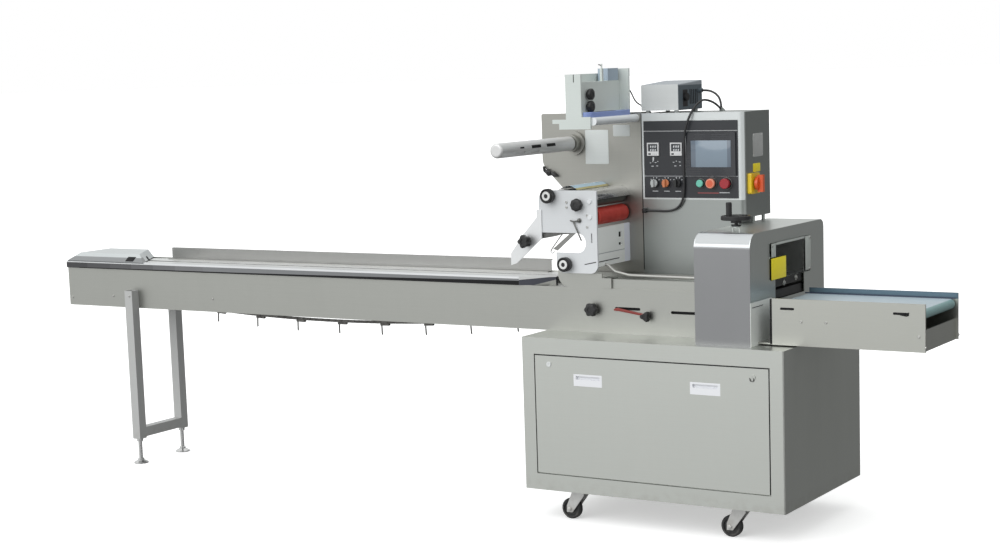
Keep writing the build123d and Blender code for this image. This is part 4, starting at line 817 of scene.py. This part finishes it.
class FLOWWRAPPER_OT_stage(bpy.types.Operator):
    """Pale floor, soft light and the camera at the photograph's angle"""
    bl_idname = "flowwrapper.stage"
    bl_label = "Stage, light and camera"

    def execute(self, context):
        scene = context.scene
        lay_floor(scene.flowwrapper_sizes.floor, tuple(scene.flowwrapper_colours.floor))
        hang_lights()
        scene.world = studio_air()
        scene.view_settings.view_transform = "Standard"
        scene.camera = photo_camera()
        return {"FINISHED"}


# The routes of the three cables, in millimetres, as the solids have them
FRONT_ROUTE = [
    (529, 550, 1428), (516, 536, 1447), (501, 513, 1459), (493, 484, 1463), (494, 455, 1458),
    (491, 428, 1446), (484, 405, 1424), (472, 397, 1393), (461, 396, 1358), (455, 398, 1316),
    (452, 401, 1264), (450.5, 402, 1198), (450, 403, 1143), (443, 403, 1106), (421, 403, 1080),
    (384, 403, 1070), (340, 404, 1072), (298, 404, 1072),
]
LOOP_ROUTE = [
    (434, 596, 1494), (456, 595, 1494), (481, 591, 1487), (503, 584, 1473), (517, 576, 1452),
    (521, 571, 1428),
]
CODER_ROUTE = [
    (226, 407, 1512), (227, 421, 1508), (229, 433, 1497), (232, 441, 1482), (238, 446, 1466),
    (248, 449, 1454), (261, 450, 1448),
]


def cable(name, route, diameter, long, node_name):
    piece = wire(name, route, diameter / 2, 4, 8)
    piece.data.materials.append(FINISHES["cable_sheath"])
    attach(piece, "machine")
    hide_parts(node_name)


class FLOWWRAPPER_OT_cables(bpy.types.Operator):
    """The controller's cables over the control cabinet"""
    bl_idname = "flowwrapper.cables"
    bl_label = "Cables"

    def execute(self, context):
        sizes = context.scene.flowwrapper_sizes
        cable("front_lead", FRONT_ROUTE, sizes.cable, 0.657, "front_cable")
        cable("loop_lead", LOOP_ROUTE, sizes.cable, 0.126, "loop_cable")
        cable("coder_lead", CODER_ROUTE, sizes.coder_cable, 0.096, "coder_cable")
        return {"FINISHED"}


# Chain: the two sprockets' places and radius, the sag of the return run and the links of each stretch
CHAIN_X0, CHAIN_X1, CHAIN_Y, CHAIN_Z = -2050.0, -92.0, 290.0, 740.2
CHAIN_MIDDLE, CHAIN_HALF = (CHAIN_X0 + CHAIN_X1) / 2, (CHAIN_X1 - CHAIN_X0) / 2
SPROCKET, SAG, RUN_LINKS, ARC_LINKS = 55.77, 56.0, 124, 11
LINK_PITCH, LINK_ROUND, LINK_PLATE = 15.83, 5.3, 1.1
PUSHERS, PUSHER_STEP, FIRST_STANDING = 8, 206.375, 148


def return_run(x):
    return CHAIN_Z - SPROCKET - SAG * (1 - ((x - CHAIN_MIDDLE) / CHAIN_HALF) ** 2)


def round_sprocket(x, start):
    """The joints of the half turn round a sprocket, from a given angle on."""
    turns = [start - math.pi * i / ARC_LINKS for i in range(ARC_LINKS)]
    return [(x + SPROCKET * math.cos(angle), CHAIN_Z + SPROCKET * math.sin(angle)) for angle in turns]


def chain_joints():
    steps = [(CHAIN_X1 - CHAIN_X0) * i / RUN_LINKS for i in range(RUN_LINKS)]
    joints = [(CHAIN_X0 + step, CHAIN_Z + SPROCKET) for step in steps]
    joints += round_sprocket(CHAIN_X1, math.pi / 2)
    joints += [(CHAIN_X1 - step, return_run(CHAIN_X1 - step)) for step in steps]
    return joints + round_sprocket(CHAIN_X0, -math.pi / 2)


def link(inside, bush):
    """Two link plates and their pins or bushes; inside is half the width between the plates."""
    half = LINK_PITCH / 2
    corners = [math.radians(angle) for angle in (-67.5, -22.5, 22.5, 67.5)]
    outline = [
        (side * (half + LINK_ROUND * math.cos(a)), side * LINK_ROUND * math.sin(a))
        for side in (1, -1) for a in corners
    ]
    pieces = [plate(y, outline, LINK_PLATE, way=BACK) for y in (inside, -inside - LINK_PLATE)]
    reach = inside + 1.7
    pieces += [turn((x, -reach, 0), BACK, [(bush, 0), (bush, 2 * reach)], 6) for x in (-half, half)]
    return join(pieces)


def pusher(reach):
    """A pusher's foot, ear and finger, hanging from the corner."""
    foot = slab((-4, -6, -13), (38, 6, -5.2), 1.2)
    ear = plate(-5, [(4, -5.4), (28, -5.4), (24, -1), (8, -1)], 10, 0.6, BACK)
    finger = bent(0, [(0, -6), (0, -22), (0, 6 - reach), (0.4, 1.5 - reach), (1.2, -reach)], 2.9)
    return join([foot, ear, finger])


class FLOWWRAPPER_OT_chain(bpy.types.Operator):
    """Link chain with its pushers, round both sprockets"""
    bl_idname = "flowwrapper.chain"
    bl_label = "Pusher chain"

    def execute(self, context):
        joints = chain_joints()
        places = []
        for (x0, z0), (x1, z1) in zip(joints, joints[1:] + joints[:1]):
            tilt = Euler((0.0, -math.atan2(z1 - z0, x1 - x0), 0.0))
            places.append((((x0 + x1) / 2, CHAIN_Y, (z0 + z1) / 2), tilt))
        pieces = [copies(link(4.1, 2.9), places[0::2]), copies(link(5.5, 1.7), places[1::2])]
        standing, hanging = [], []
        for i in range(PUSHERS):
            x = CHAIN_X1 - FIRST_STANDING - i * PUSHER_STEP
            standing.append(((x, CHAIN_Y, CHAIN_Z + SPROCKET), Euler((0.0, math.pi, 0.0))))
            x = CHAIN_X1 - PUSHER_STEP / 2 - i * PUSHER_STEP
            slope = 2 * SAG * (x - CHAIN_MIDDLE) / CHAIN_HALF ** 2
            hanging.append(((x, CHAIN_Y, return_run(x)), Euler((0.0, -math.atan(slope), 0.0))))
        pieces += [copies(pusher(43), standing), copies(pusher(49), hanging)]
        chain = fit(pieces, "pusher_chain", "chain_steel")
        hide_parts("chain_loop")
        return {"FINISHED"}


BOLTS = [((858, 435, 845), RIGHT), ((858, 334, 838), RIGHT), ((-1996, 440, 706), BACK)]
FRONT_SCREWS = (
    (-2353, LINE_FACE, 687), (-2118, LINE_FACE, 701), (-1573, LINE_FACE, 708), (-1990, 140, 708),
    (1023, OUTFEED_FACE, 741), (1110, OUTFEED_FACE, 742), (1423, OUTFEED_FACE, 710),
    (101, BRACKET_FACE, 1118), (101, BRACKET_FACE, 1100), (184, BRACKET_FACE, 1072),
    (183, BRACKET_FACE, 1031),
)
SCREWS = [(place, FRONT) for place in FRONT_SCREWS]
SCREWS += [((GUARD_FACE, y, z), RIGHT) for y, z in ((214, 975), (533, 975), (533, 867))]
SCREWS += [((LINE_END, y, z), LEFT) for z in (672, 798) for y in (196, 384)]
SCREWS += [((OUTFEED_END, y, 676), RIGHT) for y in (95, 411)]


class FLOWWRAPPER_OT_fasteners(bpy.types.Operator):
    """Hexagon bolts on washers and socket screws"""
    bl_idname = "flowwrapper.fasteners"
    bl_label = "Bolts and screws"

    def execute(self, context):
        sizes = context.scene.flowwrapper_sizes
        r = sizes.bolt / MM
        washer = turn((0, 0, 0), UP, [(1.5 * r, 0), (1.5 * r, 1.2)], 20)
        head = turn((0, 0, 1.2), UP, [(r, 0), (r, 3.4), (0.82 * r, 4.2), (0.3 * r, 4.4)], 6)
        bolts = stand(join([washer, head]), BOLTS)
        r = sizes.screw / MM
        screw = turn((0, 0, 0), UP, [(r, 0), (r, 2.0), (0.8 * r, 2.8), (0.5 * r, 2.8), (0.5 * r, 1.2)], 16)
        fit([bolts, stand(screw, SCREWS)], "bolts_and_screws", "bolt_steel")
        return {"FINISHED"}


# Hand knobs: radius, depth, lobes, depth of the dips between the lobes, places
KNOBS = (
    (24, 22, 6, 0.14, [((LINE_END, 290, 750), LEFT)]),
    (25, 34, 6, 0.16, [((197, LINE_FACE, 739), FRONT)]),
    (20, 30, 3, 0.42, [((412, LINE_FACE, 723), FRONT)]),
    (25, 40, 5, 0.26, [((-60, 166, 978), FRONT)]),
    (23, 24, 8, 0.08, [((150, BRACKET_FACE, 1110), FRONT)]),
    (20, 22, 7, 0.06, [((CODER_SIDE, 142, 1497), RIGHT), ((CODER_SIDE, 142, 1455), RIGHT)]),
)
KNOB_PROFILE = (
    (0.86, 0.30), (0.98, 0.38), (1.0, 0.5), (1.0, 0.84), (0.93, 0.94), (0.8, 1.0), (0.42, 1.0), (0.38, 0.93),
)


def star_knob(radius, depth, lobes, dip):
    """A moulded hand knob on its collar."""
    collar = turn((0, 0, 0), UP, [(0.5 * radius, 0), (0.44 * radius, 0.36 * depth)], 20)
    grip = turn((0, 0, 0), UP, [(r * radius, d * depth) for r, d in KNOB_PROFILE], 8 * lobes, lobes, dip)
    return join([collar, grip])


class FLOWWRAPPER_OT_knobs(bpy.types.Operator):
    """Black hand knobs, the film sensor on the tower and the cable clip"""
    bl_idname = "flowwrapper.knobs"
    bl_label = "Hand knobs"

    def execute(self, context):
        pieces = [stand(star_knob(*shape), places) for *shape, places in KNOBS]
        sensor = [
            (-128, 1232), (-120, 1214), (-108, 1222), (-99, 1210), (-86, 1212), (-66, 1193), (-80, 1192),
            (-93, 1199), (-106, 1195), (-115, 1204), (-126, 1214),
        ]
        pieces.append(plate(TOWER_FACE, sensor, 18, 1.2))
        pieces.append(turn((-100, 396, 1208), FRONT, [(7, 0), (7, 6), (5.4, 7), (4, 7), (4, 5)], 20))
        pieces.append(slab((282, 396, 1064), (298, TOWER_FACE, 1080), 2.5, 3))
        knobs = fit(pieces, "hand_knobs", "knob_black")
        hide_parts("black_knobs")
        return {"FINISHED"}


# Dark joints, the backs of slots and a painted shadow in the gap at the outfeed's left end: low corner, high
# corner, softening of the edges
DARK_JOINTS_AND_SHADOWS = (
    ((277.6, 411.6, 858), (280.4, 413.2, 1418), 0.3),
    ((278, 187.6, 734), (386, 189.4, 756), 0.4),
    ((498, 187.6, 728), (606, 189.4, 750), 0.4),
    ((949.5, 93, 778.4), (998.5, 97, 785.6), 1.2),
    ((1338.5, 93, 778.4), (1387.5, 97, 785.6), 1.2),
    # Painted shadow in the gap at the left end of the outfeed's front plate
    ((912, 92.6, 662), (920.2, 97.6, 813), 0.3),
    ((865.6, 54, 784), (866.5, 142, 786.4), 0.2),
    ((188, 89.4, 1540), (190.6, 90.3, 1566.6), 0.2),
)
# Painted shadow under the rail's nose: a dark strip along the foot of its front face, taller to the right
RAIL_SHADOW_STRIP = [(-2300, 815), (-108, 815), (-108, 831), (-700, 825), (-1400, 820.5), (-2300, 818)]
BRACKET_SLOT = [(169, 896.5), (216, 906), (216, 909), (169, 899.5)]
# The way that the turned end of the rail faces
RAIL_TURN = (0.351, -0.936, 0)


def hood_stop():
    """The dark stop that lies on the hood's slope."""
    corners = [
        (x, RAIL_FACE - 2 + 41 * (z - 845) / 31, z - 3)
        for x, z in ((-2041, 869), (-1996, 869), (-1996, 852), (-2041, 852))
    ]
    return sheet(corners, (0, 31, -41), 9, 1.2)


class FLOWWRAPPER_OT_line_trim(bpy.types.Operator):
    """Painted shadow under the rail, in the service panel's top and right gaps and at the outfeed's left end,
    hood stop, tower joint and the backs of the slots
    """
    bl_idname = "flowwrapper.line_trim"
    bl_label = "Joints and stops of the line"

    def execute(self, context):
        pieces = [plate(RAIL_FACE, RAIL_SHADOW_STRIP, 0.5), plate(BRACKET_FACE, BRACKET_SLOT, 0.5), hood_stop()]
        # Painted shadow in the gaps along the top and right edges of the service panel
        low, high = [(corner - at(0, 0, 0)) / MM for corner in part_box("service_panel")]
        pieces.append(slab((low.x, -0.4, high.z - 0.4), (high.x, 3, high.z + 2.4), 0.2))
        pieces.append(slab((high.x - 0.4, -0.4, low.z), (high.x + 2.4, 3, high.z), 0.2))
        edge = (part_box("cross_plate")[1].x - CORNER.x) / MM
        for y, z, wide, tall in ((329, 983, 13, 18), (329, 954, 12, 9), (180, 906, 150, 3)):
            pieces.append(slab((edge - 0.6, y, z), (edge + 0.6, y + wide, z + tall), 0.2))
        pieces += [slab(*joint) for joint in DARK_JOINTS_AND_SHADOWS]
        fit(pieces, "dark_joints_and_painted_shadows", "gap_black")
        # Painted highlight: a bright triangle at the top of the rail's turned end
        end_highlight = sheet([(-108, 172, 845.3), (20, 220, 845.3), (-108, 172, 834)], RAIL_TURN, 0.5)
        fit([end_highlight], "rail_end_painted_highlight", "bed_sheet")
        heel = sheet([(20, 220, 815), (20, 220, 834), (-55, 191.9, 815)], RAIL_TURN, 0.5)
        fit([heel], "rail_heel", "line_sheet")
        return {"FINISHED"}


MANDREL_X, MANDREL_Z, MANDREL_SKIN = 3, 1316, (25.0, 26.4)


def mandrel_slot(near, far, low, high):
    """A dark slot in the mandrel's skin, between two places along it and two angles round it."""
    inner, outer = MANDREL_SKIN
    steps = [math.radians(low + (high - low) * i / 4) for i in range(5)]
    rim = [(outer, a) for a in steps] + [(inner, a) for a in reversed(steps)]
    outline = [(MANDREL_X + r * math.cos(a), MANDREL_Z + r * math.sin(a)) for r, a in rim]
    return plate(near, outline, far - near, way=BACK)


class FLOWWRAPPER_OT_feed_fittings(bpy.types.Operator):
    """Lever, wire and arched sheet of the film feed unit"""
    bl_idname = "flowwrapper.feed_fittings"
    bl_label = "Fittings of the film feed"

    def execute(self, context):
        stations = [(8, 0), (8, 4), (6.5, 5), (4.5, 5), (4.5, 9), (3.6, 9.6)]
        pivot = turn((153, BRACKET_FACE, 1054), FRONT, stations, 20)
        handle = bent(164, [(153, 1054), (142, 1052), (130, 1050), (118, 1054)], 2.6)
        tongue = plate(165.4, [(128, 1049), (133, 1050), (164, 984), (159, 982)], 2, 0.5)
        fit([pivot, handle, tongue], "bracket_lever", "dark_steel")
        hook = bent(181, [(86, 1014), (72, 1002), (48, 972), (26, 945), (25, 938), (31, 932), (40, 940)], 2.0)
        fit([hook], "film_wire", "arm_satin")
        # Painted shade: the arched sheet behind the bracket is given a dark grey
        arch = [
            (-24, 983), (8, 992), (40, 998), (80, 1003), (118, 1005), (118, 1012), (40, 1011), (-14, 1010),
            (-22, 1002),
        ]
        fit([plate(178.4, arch, 130, 0.8, BACK)], "film_arch", "arch_grey")
        slots = [mandrel_slot(-12, 14, 4, 16), mandrel_slot(65, 128, -2, 22), mandrel_slot(168, 228, -2, 22)]
        fit(slots, "mandrel_slots", "gap_black", "film_mandrel")
        return {"FINISHED"}


class FLOWWRAPPER_OT_film(bpy.types.Operator):
    """Piece of film that lies on the film guide"""
    bl_idname = "flowwrapper.film"
    bl_label = "Film on the guide"

    def execute(self, context):
        fresh()
        low, high = at(59, 180, 1160), at(141, 411, 1160)
        middle = (low + high) / 2
        bpy.ops.mesh.primitive_grid_add(x_subdivisions=18, y_subdivisions=30, size=1.0, location=middle)
        film = context.object
        film.scale = (high.x - low.x, high.y - low.y, 1.0)
        settle(film)
        for vertex in film.data.vertices:
            across = (vertex.co.x - low.x) / (high.x - low.x)
            along = (vertex.co.y - low.y) / (high.y - low.y)
            wave = math.sin(9.0 * along + 2.0 * across) * math.sin(5.0 * across + 0.6)
            arch = 15.0 * math.sin(math.pi * across ** 1.3)
            vertex.co.z += (0.7 + 0.4 * (1.0 + wave) + arch) * MM
        fit([film], "film_remnant", "film_print", angle=80)
        return {"FINISHED"}


# Control panel: places of the displays and selectors, the row of buttons, the short marks and the rings
DISPLAYS = (327, 419)
SELECTORS = (332, 378, 423)
BUTTON_ROW = 1171
PANEL_MARKS = (
    (312, 1242, 5), (322, 1246, 4), (332, 1243, 6), (342, 1247, 4), (318, 1230, 9), (338, 1231, 7),
    (404, 1244, 6), (416, 1248, 4), (428, 1245, 7), (410, 1231, 8), (430, 1232, 6),
)
BUTTON_RINGS = ((514, 15.5, 1.6), (556, 19.0, 1.8), (613, 20.0, 1.8))


def panel_strip(x0, x1, z0, z1):
    return slab((x0, PANEL_FACE, z0), (x1, PANEL_FACE + 0.5, z1), 0.1)


def display_windows(x):
    window = slab((x - 18.4, 405.5, 1284.6), (x + 18.4, 406.6, 1310.4), 0.3)
    return [window, slab((x - 18, 404.7, 1272), (x - 8, 405.2, 1278), 0.2)]


def display_digits(x):
    """Two rows of slanted bars and three keys on a temperature display."""
    made = []
    for row in (1301, 1289):
        for left in (x - 11, x - 2, x + 7):
            bar = [(left, row - 3.6), (left + 5, row - 3.6), (left + 6, row + 3.6), (left + 1, row + 3.6)]
            made.append(plate(405.4, bar, 0.3, way=BACK))
    for key in (x, x + 7, x + 14):
        made.append(slab((key - 2, 404.6, 1273), (key + 2, 405.2, 1277), 0.2))
    return made


def selector_marks(x):
    """Four ticks round a selector and the line under it."""
    made = []
    for angle in (-52, -18, 18, 52):
        u, v = math.sin(math.radians(angle)), math.cos(math.radians(angle))
        ends = ((17.5, -1.3), (17.5, 1.3), (22, 1.3), (22, -1.3))
        tick = [(x + far * u + side * v, BUTTON_ROW + far * v - side * u) for far, side in ends]
        made.append(plate(PANEL_FACE, tick, 0.4, way=BACK))
    return made + [panel_strip(x - 11, x + 11, 1141, 1143.4)]


class FLOWWRAPPER_OT_panel(bpy.types.Operator):
    """Display faces, screen glass, button rings and marks of the control panel"""
    bl_idname = "flowwrapper.panel"
    bl_label = "Control panel"

    def execute(self, context):
        fit([slab((478, 404.4, 1228), (633, 405.6, 1322), 0.4)], "screen_pane", "screen_glass")
        windows, marks = [], []
        for x in DISPLAYS:
            windows += display_windows(x)
            marks += display_digits(x)
        fit(windows, "display_windows", "digit_dark")
        for x in SELECTORS:
            marks += selector_marks(x)
        marks += [panel_strip(x, x + wide, z, z + 2.4) for x, z, wide in PANEL_MARKS]
        marks.append(plate(PANEL_FACE, [(324, 1264), (330, 1264), (328, 1250), (323, 1250)], 0.4, way=BACK))
        marks.append(panel_strip(585, 624, 1137, 1139.6))
        fit(marks, "panel_marks", "print_white")
        fit([panel_strip(500, 583, 1135.6, 1138)], "panel_line", "print_red")
        rings = [ring((x, 409, BUTTON_ROW), FRONT, radius, thick) for x, radius, thick in BUTTON_RINGS]
        fit(rings, "button_rings", "dark_steel")
        return {"FINISHED"}


class FLOWWRAPPER_OT_plates(bpy.types.Operator):
    """Bare plates on the tower, the control cabinet and the guard"""
    bl_idname = "flowwrapper.plates"
    bl_label = "Bare plates"

    def execute(self, context):
        tall = front_card(TOWER_FACE, (47, 1239), (143, 1363), 3)
        wide = front_card(TOWER_FACE, (164, 1339), (232, 1380), 3)
        fit([tall, wide], "tower_plates", "plate_white")
        rivet = turn((0, 0, 0), UP, [(2.6, 0), (2.4, 0.9), (1.5, 1.5)], 12)
        rivets = stand(rivet, [((CASE_SIDE + 0.7, y, z), RIGHT) for y in (488, 560) for z in (1265, 1335)])
        silver = side_card(CASE_SIDE, (482, 1259), (566, 1341), 3)
        fit([silver, rivets], "side_plate", "plate_silver")
        above_switch = side_card(CASE_SIDE, (481, 1206), (541, 1236), 4)
        on_guard = side_card(GUARD_FACE, (204, 860), (326, 933), 3, 0.6)
        fit([above_switch, on_guard], "yellow_plates", "sticker_yellow")
        strips = [
            slab((GUARD_FACE, y0, z0), (GUARD_FACE + 0.6, y1, z1), 0.2)
            for y0, y1, z0, z1 in ((206, 242, 937, 983), (494, 541, 863, 983), (246, 490, 976, 984))
        ]
        fit(strips, "guard_strips", "frost_strip")
        return {"FINISHED"}


# The coder's tray: its left and right side, ends, underside and rounded front corner
TRAY_LEFT, TRAY_RIGHT, TRAY_FRONT, TRAY_BACK, TRAY_LOW, TRAY_ROUND = 217, 247, 98, 392, 1416, 24


def tray_outline():
    outline = [(TRAY_LEFT, TRAY_BACK), (TRAY_RIGHT, TRAY_BACK), (TRAY_RIGHT, 120)]
    for step in range(1, 7):
        angle = math.radians(15 * step)
        x = TRAY_RIGHT - TRAY_ROUND + TRAY_ROUND * math.cos(angle)
        outline.append((x, TRAY_FRONT + TRAY_ROUND - TRAY_ROUND * math.sin(angle)))
    return [(x, y, TRAY_LOW) for x, y in outline + [(TRAY_LEFT, TRAY_FRONT)]]


class FLOWWRAPPER_OT_coder(bpy.types.Operator):
    """Tray and hook wire of the date coder, vents of its controller"""
    bl_idname = "flowwrapper.coder"
    bl_label = "Date coder fittings"

    def execute(self, context):
        fit([sheet(tray_outline(), UP, 20, 2.5, 3)], "coder_tray", "tray_blue")
        well = card(lambda u, v: (u, v, 1435.8), (222, 150), (244, 300), 8, UP, 0.6)
        fit([well], "tray_well", "gap_black")
        bends = [(209, 256, 1583), (209, 256, 1590), (208.5, 255, 1594), (206, 251, 1597), (202, 246, 1598)]
        fit([rod(bends, 1.8)], "coder_hook", "dark_steel")
        vents = []
        for y in range(520, 577, 14):
            vents.append(slab((CONTROLLER_SIDE, y, 1448), (CONTROLLER_SIDE + 0.6, y + 6, 1500), 0.2))
        fit(vents, "controller_vents", "gap_black")
        return {"FINISHED"}


class FLOWWRAPPER_OT_outfeed(bpy.types.Operator):
    """Slot lever of the outfeed and the adjusting lever of the deck"""
    bl_idname = "flowwrapper.outfeed"
    bl_label = "Levers"

    def execute(self, context):
        hooked = bent(90.6, [(1362, 779), (1378, 776), (1387, 776), (1390, 781), (1389, 787)], 2.0)
        near = plate(91.4, [(950, 784.6), (982, 783), (998, 779), (982, 779.6), (950, 781)], 1.2, 0.3)
        far = plate(91.4, [(1339, 785), (1372, 783), (1380, 778), (1366, 779.4), (1339, 780)], 1.2, 0.3)
        fit([hooked, near, far], "outfeed_lever", "gap_black")
        bar = plate(179, [(279, 743), (292, 748), (404, 729), (404, 721), (300, 736), (279, 737)], 4, 1.0)
        fit([bar], "deck_lever", "lever_red")
        fit([slab((907, 400.6, 795.2), (1436, 403.4, 799.2), 0.4)], "belt_edge", "edge_blue")
        catch = bent(-2.4, [(880, 561), (880, 553), (883, 549), (891, 549), (894, 553), (894, 561)], 1.5)
        fit([catch], "panel_catch", "dark_steel")
        return {"FINISHED"}


# Castors: the wheels' places at rest, the axle's height, and the profiles of nut and hub cap
WHEELS = ((153, 65), (777, 65), (153, 605), (777, 605))
AXLE = 37.5
NUT = [(10.5, 0), (10.5, 1.2), (8, 1.2), (8, 4.2), (6.4, 5.2), (3, 5.4)]
HUB_CAP = [(24, 0), (24, 0.8), (21, 1.8), (16, 1.8), (15, 0.6), (13, 0.6)]


class FLOWWRAPPER_OT_castors(bpy.types.Operator):
    """Axle nuts of the castor forks and hub caps of the wheels"""
    bl_idname = "flowwrapper.castors"
    bl_label = "Castor fittings"

    def execute(self, context):
        for key, (x, y) in zip(CORNERS, WHEELS):
            nuts = [turn((x, y + 21 * side, AXLE), (0, side, 0), NUT, 6) for side in (-1, 1)]
            fit(nuts, "axle_nuts_" + key, "zinc_press", "castor_" + key)
            caps = [turn((x, y + 8 * side, AXLE), (0, side, 0), HUB_CAP, 28) for side in (-1, 1)]
            fit(caps, "wheel_caps_" + key, "tread_black", "wheel_" + key)
        return {"FINISHED"}


class FLOWWRAPPER_PT_panel(bpy.types.Panel):
    """Lists the steps that dress the machine"""
    bl_idname = "FLOWWRAPPER_PT_panel"
    bl_label = "Flow wrapper"
    bl_space_type = "VIEW_3D"
    bl_region_type = "UI"
    bl_category = "Flow wrapper"

    def draw(self, context):
        for step in STEPS:
            self.layout.operator(step.bl_idname)


STEPS = (
    FLOWWRAPPER_OT_stage, FLOWWRAPPER_OT_finishes, FLOWWRAPPER_OT_cables, FLOWWRAPPER_OT_chain,
    FLOWWRAPPER_OT_fasteners, FLOWWRAPPER_OT_knobs, FLOWWRAPPER_OT_line_trim, FLOWWRAPPER_OT_feed_fittings,
    FLOWWRAPPER_OT_film, FLOWWRAPPER_OT_panel, FLOWWRAPPER_OT_plates, FLOWWRAPPER_OT_coder,
    FLOWWRAPPER_OT_outfeed, FLOWWRAPPER_OT_castors,
)
CLASSES = (FlowWrapperColours, FlowWrapperSizes) + STEPS + (FLOWWRAPPER_PT_panel,)


def register():
    for one in CLASSES:
        bpy.utils.register_class(one)
    bpy.types.Scene.flowwrapper_colours = PointerProperty(type=FlowWrapperColours)
    bpy.types.Scene.flowwrapper_sizes = PointerProperty(type=FlowWrapperSizes)


def unregister():
    del bpy.types.Scene.flowwrapper_sizes
    del bpy.types.Scene.flowwrapper_colours
    for one in reversed(CLASSES):
        bpy.utils.unregister_class(one)


def main():
    register()
    make_finishes(bpy.context.scene.flowwrapper_colours)
    for step in STEPS:
        group_name, step_name = step.bl_idname.split(".")
        getattr(getattr(bpy.ops, group_name), step_name)()


if __name__ == "__main__":
    main()
